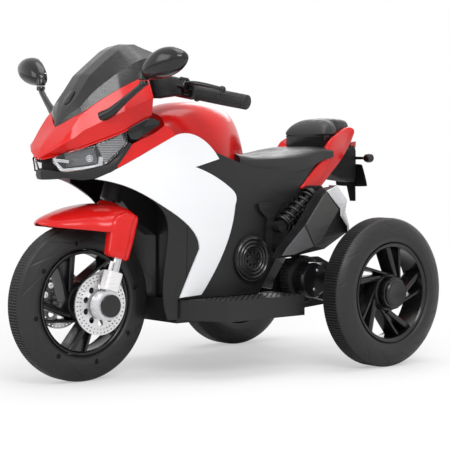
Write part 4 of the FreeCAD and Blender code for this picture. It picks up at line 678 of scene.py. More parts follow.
# %% [markdown]
# A bulky housing for the switches sits on the bar inside each grip.  It could be a box with a bevel, but it
# swells in the middle and narrows towards the grip, so it is a rounded bar with a width and a height that
# change along its line.

# %% Switch housings


def bar(points, width, height, count=32, square=3.0, passes=8):
    """Rounded bar along a smooth line; its width lies level, its height stands square to the line."""
    path = spread_evenly(np.asarray(points, float) * MM, count, passes)
    way = np.gradient(path, axis=0)
    way /= np.linalg.norm(way, axis=1, keepdims=True)
    level = np.cross(way, [0.0, 0.0, 1.0])
    level /= np.linalg.norm(level, axis=1, keepdims=True)
    at = np.linspace(0, 1, count)
    sizes = [np.interp(at, np.linspace(0, 1, len(given)), given) for given in (width, height)]
    section = pillow(1, 1, square, 20)[None] * np.stack(sizes, axis=1)[:, None] * MM
    return with_ends(carried(path, section, level, np.cross(level, way)))


housing = bar([(152, 26, 550), (139, 52, 556), (123, 76, 558), (113, 95, 556)], [26, 36, 26, 23],
              [30, 42, 40, 32], count=40, square=4.5)
make_piece("switch_housings", pair(housing), BLACK, body="steering")

# %% [markdown]
# Each rear shock carries a coil of round wire.  A Screw modifier could wind it, but its ends wouldn't lie
# flat on their seats.  The coil is a helix whose height rests at both ends, and a circle is carried along
# it, square to the wire everywhere.

# %% Shock springs
WIRE = 2.6 * MM
COIL_TURNS = 6.6
FLAT_SHARE = 0.10


def spring_grid():
    """Helix: angle grows evenly, height follows the angle but rests flat over the end turns."""
    points = left_points("shock_springs")
    middle, way, length = long_axis(points)
    way, first, second = basis(way)
    off_axis = np.linalg.norm((points - middle) - np.outer((points - middle) @ way, way), axis=1)
    t = np.linspace(0, 1, 320)
    height = np.clip((t - FLAT_SHARE) / (1 - 2 * FLAT_SHARE), 0, 1)
    height = (height - 0.5) * (length - 2 * WIRE - 1 * MM)
    angle = 2 * np.pi * COIL_TURNS * t
    outward = np.outer(np.cos(angle), first) + np.outer(np.sin(angle), second)
    path = middle + np.outer(height, way) + (off_axis.max() - WIRE) * outward
    forward = np.gradient(path, axis=0)
    forward /= np.linalg.norm(forward, axis=1, keepdims=True)
    circle = pillow(2 * WIRE, 2 * WIRE, square=2.0, count=14)
    return with_ends(carried(path, circle, outward, np.cross(forward, outward)))


make_piece("shock_coils", pair(spring_grid()), GLOSS_BLACK, ["shock_springs"])

# %% [markdown]
# A pointed hood covers the front tyre.  A subdivided box could be pulled into this shape; a table of sizes
# from tip to rear keeps point and edge where they belong, and the hood is a row of half ovals.

# %% Mudguard hood
FRONT_AXLE = node_centre("front_axle")[0]
HOOD_WALL = 2.5 * MM
# From tip to rear: ahead of the axle, half width, height of the edge, height of the crown.
HOOD = np.array([(95, 1, 152.5, 153), (92, 13, 151, 156), (84, 27, 149, 161), (72, 40, 147, 166),
                 (55, 52, 145, 171), (35, 66, 143, 176), (19, 80, 141, 179), (6, 91, 139, 181),
                 (-14, 99, 137, 183), (-34, 102, 136, 185), (-52, 101, 137, 185), (-66, 94, 142, 181),
                 (-76, 82, 149, 173)]) * MM


def hood_grid():
    """Half ovals: sideways and upward reach follow cosine and sine raised to a power.

    The power makes the ovals squarer towards the rear; an inner skin runs back below the outer one."""
    rows = 84
    ahead, half, edge, crown = spread_evenly(HOOD, rows, 14).T[:, :, None]
    power = 2 / np.interp(-ahead, [-95 * MM, 0, 60 * MM], [1.7, 2.3, 3.1])
    turn = np.linspace(0, np.pi, 57)
    c, s = np.cos(turn), np.abs(np.sin(turn))
    side = half * np.sign(c) * np.abs(c) ** power
    up = edge + (crown - edge) * s ** power
    step = np.arange(rows)
    wall = HOOD_WALL * np.clip(np.minimum(step, rows - 1 - step) / 4, 0, 1)[:, None]
    outer = np.stack([ahead + 0 * side, side, up], axis=-1)
    inner = np.stack([ahead + 0 * side, side * (1 - wall / np.maximum(half, 4 * MM)), up - wall], axis=-1)
    return FRONT_AXLE + np.concatenate([outer, inner[:, ::-1]], axis=1)


hood = hood_grid()
print("hood:", hood.shape[0], "rows of", hood.shape[1], "points")

# %% [markdown]
# The same glossy moulding has a boss round the steering stem and two covers that hide the upper fork tubes.
# Bevelled cubes could stand for the covers, but they lean with the fork and sweep forward into the hood, so
# they are rounded boxes carried up along it; the boss is turned.

# %% Front mudguard
RAKE = math.radians(18)
FORK_UP = np.array([-math.sin(RAKE), 0.0, math.cos(RAKE)])
FORK_AHEAD = np.array([math.cos(RAKE), 0.0, math.sin(RAKE)])
RIB_HEIGHT = 1.8 * MM
# From lower end to shoulder: up the fork, ahead of it, length, thickness, distance from the middle.
COVER = np.array([(89, 7, 47, 27, 89), (110, 8, 50, 31, 88.5), (132, 9, 54, 32, 87), (150, 11, 60, 31, 85),
                  (164, 6, 52, 28, 84), (172, 0, 40, 25, 83.5), (177, -3, 28, 18, 83)]) * MM


def cover_grid():
    """Rounded box carried up the fork, sweeping forward into the hood, with a rib on its outer face."""
    up, ahead, length, thick, side = spread_evenly(COVER, 40, 6).T
    ends = np.clip((up - up[0]) / (5 * MM), 0, 1)
    sizes = np.stack([length, thick], axis=1) * (0.86 + 0.14 * np.sqrt(ends))[:, None]
    path = FRONT_AXLE + np.outer(ahead, FORK_AHEAD) + np.outer(up, FORK_UP) + np.outer(side, ACROSS)
    unit = pillow(1, 1, square=3.6, count=96)
    section = unit[None] * sizes[:, None]
    section[..., 1] += RIB_HEIGHT * np.clip(2.2 - np.abs(unit[:, 0] + 0.06) * 14, 0, 1) * (unit[:, 1] > 0)
    return with_ends(carried(path, section, FORK_AHEAD, ACROSS))


boss = lathe([(166, 42), (172, 33), (178, 27), (186, 23.5), (195, 21.5), (198, 20), (198, 14)],
             FRONT_AXLE - 10 * MM * FORK_AHEAD, FORK_UP, 64)
make_piece("front_mudguard", tubes(hood) + pair(cover_grid()) + tubes(boss), RED,
           ["front_fender"], 45, "steering")

# %% [markdown]
# A pale block clamps the foot of each chrome tube, and a short pin stands in front of it.  Cubes with a
# bevel would do, but both lean with the fork, so they are rounded boxes carried up along it.

# %% Fork feet


def up_the_fork(low, high, ahead, side, length, thick, square):
    """Rounded box along the fork between two heights, drawn in a little at both ends."""
    up = np.array([low, low + 1.5, high - 1.5, high]) * MM
    path = FRONT_AXLE + ahead * MM * FORK_AHEAD + np.outer(up, FORK_UP) + side * MM * ACROSS
    grow = np.array([0.9, 1, 1, 0.9])[:, None, None]
    return with_ends(carried(path, pillow(length * MM, thick * MM, square, 40) * grow, FORK_AHEAD, ACROSS))


foot = up_the_fork(27, 64, 3, 87, 31, 25, 6.0)
pin = up_the_fork(60, 81, 14, 89, 6, 6, 2.0)
make_piece("fork_feet", pair(foot, pin), PALE_SILVER, sharp=30, body="steering")

# %% [markdown]
# Cowl, screen and lenses are thin.  An inner skin could be worked out below the outer one; a Solidify
# modifier adds it to any open sheet.

# %% Sheets with a wall


def shell(name, sheets, wall, finish, replaced=(), sharp=40):
    """Open sheets of points, thickened inwards by a wall in millimetres."""
    grids = [(sheet, False, False) for sheet in sheets]
    piece = make_piece(name, grids, finish, replaced, sharp)
    thick = piece.modifiers.new("wall", "SOLIDIFY")
    thick.thickness = wall * MM
    thick.offset = -1


# %% [markdown]
# The nose cowl is a thin faceted shell with a pointed window in its top, where the screen stands.  It could
# be cut from a smooth block, but its moulded edges have to stay crisp: cross-sections from front to rear are
# joined by straight faces across and smooth curves along, and the sheet then gets a wall.

# %% Nose cowl
# Ahead of the axle, then half width and height of lower edge, belt and brow, height of the crown, and how
# far the lower edge lies behind.
COWL = np.array([(93, 4, 269, 6, 272, 5, 273, 273, 0), (84, 26, 275, 34, 284, 28, 287, 292, 12),
                 (72, 41, 280, 55, 297, 47, 301, 308, 14), (51, 53, 287, 61, 309, 54, 327, 331, 9),
                 (34, 60, 293, 67, 323, 54, 350, 350, 5), (-3, 73, 305, 79, 341, 64, 377, 377, 0),
                 (-43, 87, 321, 93, 360, 75, 401, 401, 0), (-91, 95, 345, 101, 382, 83, 424, 424, 0),
                 (-100, 96, 350, 101, 386, 83, 428, 428, 0)]) * MM
WINDOW_TIP = 52 * MM
WINDOW_SIDE = 24 * MM
WINDOW_RIM = 6 * MM


def window_share(ahead):
    """How far the window has opened: nothing at its pointed tip, all of its width a little behind."""
    return np.clip((WINDOW_TIP - ahead) / WINDOW_SIDE, 0, 1) ** 0.8


def cowl_grid():
    """From lower edge over the belt to the rim of the window; ahead of the window up to the middle line."""
    table = spread_evenly(COWL, 90, 3)
    ahead = table[:, 0]
    rim = window_share(ahead) * (table[:, 5] - WINDOW_RIM)
    corners = [table[:, 1:3], table[:, 3:5], table[:, 5:7], np.stack([rim, table[:, 7]], axis=1)]
    share = np.linspace(0, 1, 9)
    runs = []
    for first, last, behind in zip(corners, corners[1:], (table[:, 8], 0 * ahead, 0 * ahead)):
        flat = first[:, None] + (last - first)[:, None] * share[:, None]
        x = ahead[:, None] - behind[:, None] * (1 - share)
        runs.append(np.concatenate([x[..., None], flat], axis=-1))
    return FRONT_AXLE + np.concatenate([runs[0][:, :-1], runs[1][:, :-1], runs[2]], axis=1)


cowl = cowl_grid()
shell("nose_shell", [cowl, mirrored(cowl)], 3, RED, ["nose_cowl"], 12)
lip = bar(cowl[2:-3:6, 0] / MM + [0, 1, -0.5], [2.4, 2.4], [2.6, 2.6], count=60, passes=4)
make_piece("nose_lip", pair(lip), RED)

# %% [markdown]
# The smoked screen is bent from a thin clear sheet: a flat crown, a crease on each side and steep flanks.  A
# subdivided plane would lose the creases, so every point comes from a table of cross-sections by its
# distance ahead and its share of the way from crown to edge.

# %% Windscreen
# Ahead of the axle, then half width and height of edge, shoulder and crease, and the height of the crown.
SCREEN = np.array([(52, 42, 322, 36, 327, 18, 328, 328), (44, 42, 326, 36, 344, 18, 347, 348),
                   (36, 52, 335, 43, 356, 23, 364, 366), (10, 60, 360, 50, 386, 28, 403, 406),
                   (-7, 65, 370, 55, 402, 28, 426, 429), (-41, 75, 392, 64, 428, 28, 453, 456),
                   (-72, 80, 408, 70, 446, 30, 476, 479), (-91, 83, 416, 73, 456, 31, 485, 488),
                   (-142, 80, 436, 70, 466, 31, 491, 494)]) * MM
CREASE, SHOULDER = 0.40, 0.75
# Where the rear edge lies, by the distance from the middle.
REAR_SIDE = np.array([0, 35, 62, 78, 90]) * MM
REAR_EDGE = np.array([-95, -110, -132, -112, -88]) * MM


def screen_spot(ahead, share):
    """Point of the screen: share is 0 on the crown, 1 on the edge, and its sign gives the side."""
    table = spread_evenly(SCREEN, 160, 4)
    value = [np.interp(-ahead, -table[:, 0], table[:, k]) for k in range(8)]
    narrow = window_share(ahead)
    sides = [0 * ahead, value[5] * narrow, value[3] * narrow, value[1] * narrow]
    heights = [value[7], value[6], value[4], value[2]]
    weights = [np.interp(np.abs(share), [0, CREASE, SHOULDER, 1], row) for row in np.eye(4)]
    side = sum(w * s for w, s in zip(weights, sides)) * np.sign(share)
    up = sum(w * h for w, h in zip(weights, heights))
    return FRONT_AXLE + np.stack(np.broadcast_arrays(ahead, side, up), axis=-1)


def screen_grid():
    """Rows run from the tip to the rear edge, which is swept back towards the sides."""
    half = np.r_[np.linspace(1, SHOULDER, 6)[:-1], np.linspace(SHOULDER, CREASE, 9)[:-1],
                 np.linspace(CREASE, 0, 11)]
    share = np.r_[half, -half[-2::-1]]
    rear_side = np.abs(screen_spot(np.full(len(share), -100 * MM), share)[:, 1])
    rear = np.interp(rear_side, REAR_SIDE, REAR_EDGE)
    t = np.linspace(0, 1, 70)[:, None]
    ahead = WINDOW_TIP - 0.5 * MM + t * (rear - WINDOW_TIP)
    return screen_spot(ahead, np.broadcast_to(share, ahead.shape))


shell("screen_shell", [screen_grid()], 2.5, SMOKE, ["windscreen"], 10)

# %% [markdown]
# A small kite-shaped vent lies on the front of the screen.  It is a plate, as are mirror backs, panels and
# guards further on: an outline with its corners cut off, lifted ring by ring.  An extruded curve would be
# flat, but the vent has to follow the bend of the screen.

# %% Screen vent
# Ahead of the axle, and share of the way from crown to edge.
VENT = [(29, -0.12), (19.6, -0.09), (13.9, 0.16), (21.9, 0.24), (30.7, 0.19), (33.7, 0.04)]
VENT_FACING = (0.66, 0.25, 0.70)


def rounded_off(corners, passes=3):
    """Corner cutting: every edge of a closed outline gives points at a quarter and at three quarters."""
    corners = np.array(corners, float)
    for _ in range(passes):
        after = np.roll(corners, -1, axis=0)
        halves = [0.75 * corners + 0.25 * after, 0.25 * corners + 0.75 * after]
        corners = np.stack(halves, axis=1).reshape(-1, corners.shape[1])
    return corners


def raised(outline, normal, rows):
    """Rings of one outline, each drawn towards the middle by a scale and lifted along the normal."""
    centre = outline.mean(0)
    rows = np.asarray(rows, float)
    return centre + rows[:, :1, None] * (outline - centre) + rows[:, 1:, None] * MM * np.asarray(normal)


vent = rounded_off(VENT, 2)
vent = raised(screen_spot(vent[:, 0] * MM, vent[:, 1]), VENT_FACING,
              [(0, -1), (1, -1), (1, 1.6), (0.9, 2.2), (0, 2.2)])
make_piece("screen_vent", tubes(vent), GLOSS_BLACK)

# %% [markdown]
# The mirror heads are smooth drops on short arms.  A sphere could be squeezed into a drop, but the glass
# has blunt corners.  A closed outline with its corners rounded off is drawn towards its middle ring by ring
# while it moves forward, which gives the domed back; the arms are rounded bars that taper from the cowl to
# the pin of the head.

# %% Mirrors
UP = np.array([0.0, 0.0, 1.0])
HINGE = np.array([263, 168, 561]) * MM
SWEEP = math.radians(10)
HEAD_OUT = np.array([-math.sin(SWEEP), math.cos(SWEEP), 0.0])
HEAD_AHEAD = np.array([math.cos(SWEEP), math.sin(SWEEP), 0.0])
HEAD_MIDDLE = HINGE + 47 * MM * HEAD_OUT + 33 * MM * UP
HEAD_SCALE = 0.93
HEAD_CORNERS = [(-55, -32), (-56, -8), (-24, 21), (10, 31), (48, 22), (58, 4), (36, -19), (-5, -33)]
HEAD_RINGS = [(0, -8), (0.91, -8), (0.93, -11.5), (0.97, -12.5), (1, -10), (1.01, -4), (0.97, 3), (0.88, 9),
              (0.73, 14), (0.52, 17.5), (0.27, 19.6), (0, 20.2)]


def head_grid():
    """Rounded outline in the plane of the glass, lifted ring by ring into a dome."""
    flat = rounded_off(HEAD_CORNERS, 4) * HEAD_SCALE * MM
    outline = HEAD_MIDDLE + np.outer(flat[:, 0], HEAD_OUT) + np.outer(flat[:, 1], UP)
    return raised(outline, HEAD_AHEAD, HEAD_RINGS)


head = head_grid()
socket = lathe([(1.5, 8), (3, 9.5), (14, 9), (18, 6)], HINGE, UP, 40)
arm = bar([(288, 66, 496), (282, 92, 505), (274, 130, 530), (266, 160, 550), (263, 168, 556)],
          [17, 15, 12, 11, 11], [20, 17, 12, 10, 10], count=44)
seat_ring = lathe([(-8, 7), (-7, 8.5), (-1.5, 8.5), (0.5, 7.5)], HINGE, UP, 40)
for side, grids in (("left", [head, socket]), ("right", [mirrored(head), mirrored(socket)])):
    make_piece("mirror_" + side + "_drop", tubes(*grids), GLOSS_BLACK,
               ["mirror_head_" + side], body="mirror_" + side)
make_piece("mirror_arms", pair(arm) + pair(seat_ring), GLOSS_BLACK, ["mirror_stems"])

# %% [markdown]
# What lies on a curved panel has to follow it.  A Shrinkwrap modifier could press it on; a low polynomial
# fitted through the points of the panel is smoother and also gives a place at any depth behind it.

# %% Fit through a side panel


def side_fit(node, inside):
    """Least squares: side reach of a panel beyond an inner limit, cubic in length and square in height."""
    points = left_points(node)
    points = points[points[:, 1] > inside * MM]
    middle = points.mean(0)
    u, v = (points[:, 0] - middle[0]) * 10, (points[:, 2] - middle[2]) * 10
    terms = np.stack([u ** i * v ** j for i in range(4) for j in range(3)], axis=1)
    weights = np.linalg.lstsq(terms, points[:, 1], rcond=None)[0]
    miss = np.abs(terms @ weights - points[:, 1]).max()
    print("fit beside", node, "is off by at most", round(miss / MM, 1), "mm")
    return middle, weights


def beside(fit, flat, out):
    """Points from length and height in millimetres, at a distance out of the fitted panel."""
    middle, weights = fit
    x, z = flat[..., 0] * MM, flat[..., 1] * MM
    u, v = (x - middle[0]) * 10, (z - middle[2]) * 10
    y = sum(k * u ** (i // 3) * v ** (i % 3) for i, k in enumerate(weights))
    return np.stack([x, y + out * MM, z], axis=-1)


LENS_FIT = side_fit("headlight_lenses", 12)

# %% [markdown]
# The window in the headlight is fluted, and its flutes catch the light in pale stripes between dark ones.
# The pale stripes are painted highlights: a sine of the height draws them at the pitch of the flutes, over a
# copy of a plain finish.

# %% Fluted finish with painted highlights
FLUTE_PITCH = 3.2


def highlight_striped(name, base, colour, pitch):
    """A finish crossed by level stripes of a second colour, from a sine of the height: painted highlights.
    """
    material = base.copy()
    material.name = name
    tree = material.node_tree
    shader = tree.nodes["Principled BSDF"]
    first = shader.inputs["Base Color"].links[0].from_socket
    place = add_node(tree, "TexCoord").outputs["Object"]
    wave = add_node(tree, "TexWave", [("Vector", place)], bands_direction="Z",
                    Scale=2 * math.pi / (20 * pitch))
    mix = add_node(tree, "Mix", [("Factor", wave.outputs["Fac"]), ("A", first)], data_type="RGBA",
                   B=(*colour, 1))
    tree.links.new(mix.outputs["Result"], shader.inputs["Base Color"])
    return material


# The pale stripes are painted highlights on the flutes, over a dark plain finish.
FLUTES_PAINTED_HIGHLIGHTS = highlight_striped("fluted lamp window with painted highlights", moulded("dark lamp window", (0.05, 0.05, 0.052), 0.45),
                 (0.55, 0.55, 0.56), FLUTE_PITCH * MM)
print("finish made:", FLUTES_PAINTED_HIGHLIGHTS.name)

# %% [markdown]
# Behind the clear headlight lens lie a grey bowl, a fluted window, a bent light strip, a small block and a
# lamp in a cup.  They could float free behind the lens; laid at a depth behind the fitted surface they keep
# an even gap to it.  The flutes are waves in the sheet; the pale stripes on them are painted highlights,
# with the darker plain finish between them.

# %% Headlight insides
FLUTE_DEPTH = 0.5


def behind_lens(flat, depth):
    """Points from length and height, at a depth in millimetres behind the fitted lens."""
    return beside(LENS_FIT, np.asarray(flat, float), -depth)


def four_sided(corners, rows, columns):
    """Even grid inside four corners, by mixing them in both directions."""
    a, b, c, d = np.asarray(corners, float)
    u = np.linspace(0, 1, rows)[:, None, None]
    v = np.linspace(0, 1, columns)[None, :, None]
    return (1 - u) * ((1 - v) * a + v * b) + u * ((1 - v) * d + v * c)


bowl = behind_lens(four_sided([(348, 430), (296, 441), (290, 411), (346, 405)], 16, 20), 9)
window = four_sided([(292, 444), (246, 466), (238, 450), (280, 411)], 90, 14)
window = behind_lens(window, 7 + FLUTE_DEPTH * np.sin(window[..., 1] * 2 * np.pi / FLUTE_PITCH))
strip_line = behind_lens([(343, 415), (355, 417), (367, 418), (360, 408), (353, 399), (336, 401), (320, 403),
                          (305, 405), (291, 408)], 6)
strip = bar(strip_line / MM, [3, 3], [6, 6], count=60, square=4.0, passes=2)
block = bar(behind_lens([(288, 409), (287, 416), (286, 424)], 7) / MM, [6, 6], [9, 9], count=12)
cup = lathe([(-4, 5), (0, 7), (2, 6.5), (1, 4.5), (3, 3), (3.6, 0)], behind_lens((306, 421), 8),
            (0.55, 0.83, 0), 32)
shell("lamp_bowl", [bowl, mirrored(bowl)], 1, REFLECTOR)
shell("lamp_flutes", [window, mirrored(window)], 1, FLUTES_PAINTED_HIGHLIGHTS)
make_piece("lamp_strip", pair(strip), LAMP, ["headlight_lamps"])
make_piece("lamp_block", pair(block), LAMP)
make_piece("lamp_cup", pair(cup), CHROME)

# %% [markdown]
# The clear lens closes the lamp, a dark chin carries it from below and a dark sheet behind keeps the inside
# dim.  They could be cut out of one block; as sheets between two lines they follow the edges that the toy
# shows: the lens between its upper and lower edge on the fitted surface, the chin between rows of points
# that run round the nose, the backing between two heights over one plan.  A small dark plate covers the
# upper corner.

# %% Lens, chin and surround
LENS_TOP = [(372, 421), (356, 431), (335, 439), (300, 448), (265, 464), (240, 474)]
LENS_LOW = [(361, 397), (342, 398), (324, 399), (300, 404), (280, 409), (264, 421), (239, 449)]
CHIN_TOP = [(375, 0, 401), (371, 12, 400), (365, 30, 398), (357, 44, 396), (340, 54, 397), (324, 61, 399),
            (300, 70, 404), (281, 78, 408), (264, 84, 421), (250, 88, 437), (239, 92, 451)]
CHIN_LOW = [(374, 0, 382), (370, 12, 382), (363, 30, 383), (355, 45, 385), (339, 55, 383), (323, 61, 381),
            (300, 69, 384), (284, 77, 390), (268, 84, 399), (258, 88, 414), (246, 92, 431), (236, 95, 446)]
BACKING_PLAN = [(368, 0), (366, 10), (360, 20), (354, 27), (344, 35), (330, 43), (310, 52), (288, 60),
                (262, 68), (235, 76), (214, 84)]
BACKING_TOP = [424, 424, 426, 430, 437, 444, 451, 460, 471, 484, 492]
BACKING_LOW = [386, 386, 386, 388, 388, 386, 388, 394, 406, 432, 452]
SURROUND = [(246, 91, 474), (222, 96, 486), (198, 101, 498), (171, 105, 488), (200, 99, 470), (233, 93, 451)]


def between(first, last, rows=40, columns=9, passes=2):
    """Even sheet of straight lines from one edge to the other."""
    share = np.linspace(0, 1, columns)[None, :, None]
    first, last = (spread_evenly(edge, rows, passes)[:, None] for edge in (first, last))
    return first + (last - first) * share


def round_the_nose(half):
    """Rows from the middle of the nose to the rear, joined with the same rows on the other side."""
    return np.concatenate([mirrored(half)[:0:-1], half])


lens = behind_lens(between(LENS_TOP, LENS_LOW), -0.5)
shell("lamp_lenses", [lens, mirrored(lens)], 1.5, LENS, ["headlight_lenses"])
top, low = (spread_evenly(edge, 60, 2) for edge in (CHIN_TOP, CHIN_LOW))
chin = [top * [1, 0.8, 1] - [10, 0, -1], top, 0.5 * (top + low) * [1, 1.015, 1] + [0.8, 0, 0], low,
        low * [1, 0.7, 1] - [16, 0, -2]]
chin = round_the_nose(np.stack(chin, axis=1) * MM)
shell("lamp_chin", [chin], 2, BLACK, ["headlight_housing"], 30)
backing = between(np.c_[BACKING_PLAN, BACKING_TOP], np.c_[BACKING_PLAN, BACKING_LOW])
shell("lamp_backing", [round_the_nose(backing * MM)], 2, DULL_BLACK)
plate = raised(rounded_off(SURROUND, 1) * MM, (0.3, 0.95, 0),
               [(0, -2), (1, -2), (1, 0), (0.94, 0.8), (0, 0.8)])
make_piece("lamp_surround", pair(plate), GLOSS_BLACK, sharp=30)

# %% [markdown]
# The saddle is a padded moulding: its cross-section is a flat arch that grows wider and dips behind the
# tank.  A subdivided box would need many loops of edges to hold its flat top.  Rows of arches from front to
# rear, eased into a smooth curve, give the whole skin.

# %% Saddle
REAR_AXLE = node_centre("rear_axle")[0] * np.array([1, 0, 1])
# Ahead of the rear axle, half width, height of lower edge, of shoulder and of crown.
SADDLE = np.array([(246, 78, 240, 266, 282), (215, 90, 240, 264, 275), (152, 92, 240, 267, 275),
                   (97, 92, 243, 268, 282), (66, 91, 250, 274, 288), (28, 85, 264, 283, 293),
                   (-7, 83, 271, 280, 291)]) * MM
ARCH_SIDE, ARCH_TOP = 0.45, 0.9


def saddle_grid():
    """Arch: half width times a cosine power, height from shoulder to crown by a sine power."""
    ahead, half, low, shoulder, crown = spread_evenly(SADDLE, 60, 4).T[:, :, None]
    turn = np.linspace(0, np.pi, 49)
    c, s = np.cos(turn), np.sin(turn)
    side = half * np.sign(c) * np.abs(c) ** ARCH_SIDE
    up = shoulder + (crown - shoulder) * s ** ARCH_TOP
    arch = np.stack([ahead + 0 * side, side, up], axis=-1)
    foot = np.stack([ahead, half, low], axis=-1)
    return REAR_AXLE + with_ends(np.concatenate([foot, arch, mirrored(foot)], axis=1))


make_piece("saddle", tubes(saddle_grid()), SEAT_BLACK, ["seat"], 50)

# %% [markdown]
# The tail cowl is one red moulding.  Its flanks sweep up from a point below the saddle to the rear end,
# flare out along a soft ridge and fall inwards again to the boot.  Sculpting could find such a form by eye;
# here each row of the grid is one closed ring of lower edge, flank, ridge, top and the same on the other
# side, so that the ridge stays one clean line.  Dark panels fill the corner ahead of it.

# %% Tail cowl
# Ridge (ahead of the rear axle, height, beyond the fitted side), lower edge, and inner edge of the top with
# its half width, row by row from the front point to the rear end.
TAIL_ROWS = [(98, 210, 1, 97, 207, 94, 208, 84), (66, 235, 2, 68, 204, 62, 234, 78),
             (34, 259, 4, 38, 206, 30, 258, 68), (12, 273, 5, 18, 219, 6, 272, 58),
             (10, 292, 9, 2, 231, 2, 282, 52), (2, 307, 12, -20, 246, -8, 291, 50),
             (-14, 316, 13, -40, 259, -20, 302, 49), (-38, 322, 12, -58, 271, -40, 315, 46),
             (-62, 330, 10, -74, 283, -62, 325, 38), (-82, 335, 8, -88, 294, -82, 332, 30),
             (-94, 336, 7, -98, 304, -94, 334, 24), (-101, 332, 5, -103, 315, -101, 331, 18)]
CORNER_AHEAD = [(122, 216), (108, 229), (90, 241), (60, 264), (29, 284), (2, 292)]
CORNER_BEHIND = [(90, 204), (78, 214), (62, 230), (36, 250), (12, 266), (-8, 280)]
LOWER_OUT, CORNER_OUT = 3.0, -2.5
FLANK_SWELL = 2.5 * MM
TAIL_FIT = side_fit("tail_cowl", 40)
REAR_SPOT = REAR_AXLE[[0, 2]] / MM


def tail_grid():
    """Rings from lower edge to ridge to inner edge in straight runs, eased between their ends.

    The flank swells between its edges by a sine; the other side is mirrored."""
    rows = spread_evenly(TAIL_ROWS, 90, 3)
    ridge = beside(TAIL_FIT, rows[:, 0:2] + REAR_SPOT, rows[:, 2])
    lower = beside(TAIL_FIT, rows[:, 3:5] + REAR_SPOT, LOWER_OUT)
    inner = np.stack([rows[:, 5] + REAR_SPOT[0], rows[:, 7], rows[:, 6] + REAR_SPOT[1]], axis=1) * MM
    share = np.linspace(0, 1, 13)[None, :, None]
    flank = lower[:, None] + (ridge - lower)[:, None] * share
    flank[..., 1] += FLANK_SWELL * np.sin(share[..., 0] * np.pi)
    top = ridge[:, None] + (inner - ridge)[:, None] * share[:, 1:]
    half = np.concatenate([flank, top], axis=1)
    for _ in range(10):
        half[:, 1:-1] = (half[:, :-2] + 2 * half[:, 1:-1] + half[:, 2:]) / 4
    return with_ends(np.concatenate([half, mirrored(half)[:, ::-1]], axis=1))


make_piece("tail_shell", tubes(tail_grid()), RED, ["tail_cowl"], 45)
corner = beside(TAIL_FIT, between(CORNER_AHEAD, CORNER_BEHIND, 24, 6, 1) + REAR_SPOT, CORNER_OUT)
shell("tail_corners", [corner, mirrored(corner)], 2.5, BLACK, sharp=45)

# %% [markdown]
# The backrest is a small boot: a dark band, a domed pad on top that overhangs it, and a squarer block
# behind the pad.  Bevelled cubes could stand for them, but the pad is domed both ways.  Pad and block are
# rows of half ovals whose power sets how square they look, and the band is one rounded plan drawn at
# several heights.

# %% Backrest
# Ahead of the rear axle, half width and height of the crown.
PAD = np.array([(4, 46, 321), (3, 53, 327), (0, 58, 333), (-6, 61, 340), (-14, 62, 346), (-24, 61, 350.5),
                (-36, 57, 352), (-47, 50, 350), (-55, 43, 343), (-58, 38, 334)]) * MM
BLOCK = np.array([(-26, 40, 347), (-40, 45, 352), (-60, 43, 354), (-84, 37, 353), (-98, 32, 351),
                  (-105, 29, 347), (-108, 25, 340)]) * MM
PAD_FOOT, BLOCK_FOOT = 319 * MM, 316 * MM
PAD_POWER, BLOCK_POWER = 0.62, 0.4
FOOT_ROLL = 3 * MM
BAND_PLAN = [(1, 57), (1, -57), (-8, -60), (-30, -58), (-104, -24), (-104, 24), (-30, 58), (-8, 60)]
# Scale of the plan and height.
BAND_ROWS = np.array([(0.97, 268), (1, 272), (1, 312), (1.012, 313), (1.012, 316), (0.98, 318)])


def pad_grid(rows, foot, power):
    """Flattened half ovals from front to rear over a level foot with a rolled edge."""
    ahead, half, crown = spread_evenly(rows, 60, 2).T[:, :, None]
    turn = np.linspace(0, 2 * np.pi, 72, endpoint=False)
    c, s = np.cos(turn), np.sin(turn)
    side = half * np.sign(c) * np.abs(c) ** power
    lift = np.where(s > 0, (crown - foot) * np.abs(s) ** (power + 0.2), FOOT_ROLL * s)
    return REAR_AXLE + with_ends(np.stack([ahead + 0 * side, side, foot + lift], axis=-1))


def band_grid():
    """Upright wall of the boot: one rounded plan drawn at several heights."""
    plan = rounded_off(BAND_PLAN) * MM
    plan = np.c_[plan, np.zeros(len(plan))]
    return REAR_AXLE + with_ends(raised(plan, UP, BAND_ROWS))


make_piece("backrest_pad", tubes(pad_grid(PAD, PAD_FOOT, PAD_POWER)), SEAT_BLACK,
           ["backrest_lid"], 35)
make_piece("backrest_block", tubes(pad_grid(BLOCK, BLOCK_FOOT, BLOCK_POWER)), BLACK, sharp=35)
make_piece("backrest_band", tubes(band_grid()), GLOSS_BLACK, ["backrest_base"], 30)

# %% [markdown]
# The number plate holder is a blank sheet with round corners on a tapering arm below a dark tray, and two
# lamp stalks stand out beside it.  Cubes and cylinders would do from afar; the helpers above also round
# their edges.  The sheet is one outline lifted to a thickness, the arm and the tray are rounded bars, the
# stalks are turned.

# %% Plate holder and signals
SHEET = [(-38, 405), (38, 405), (41, 402), (48, 360), (45, 356), (-45, 356), (-48, 360), (-41, 402)]
SHEET_LEAN = 0.19
sheet = rounded_off(SHEET, 2)
sheet = np.stack([-424 - (405 - sheet[:, 1]) * SHEET_LEAN, sheet[:, 0], sheet[:, 1]], axis=1) * MM
sheet = raised(sheet, (-0.98, 0, -SHEET_LEAN), [(0, -2), (0.97, -2), (1, -1), (1, 1), (0.97, 2), (0, 2)])
arm = bar([(-392, 0, 478), (-410, 0, 440), (-422, 0, 404), (-431, 0, 360), (-436, 0, 330), (-437, 0, 324)],
          [40, 34, 30, 30, 24, 16], [34, 24, 12, 8, 6, 4], count=48, square=5.0, passes=3)
tray = bar([(-300, 0, 416), (-345, 0, 409), (-385, 0, 405), (-418, 0, 405)], [96, 84, 70, 56],
           [26, 54, 70, 80], count=30, square=6.0, passes=3)
make_piece("plate_holder", tubes(sheet, arm, tray), DULL_BLACK, ["plate_bracket"], 18)
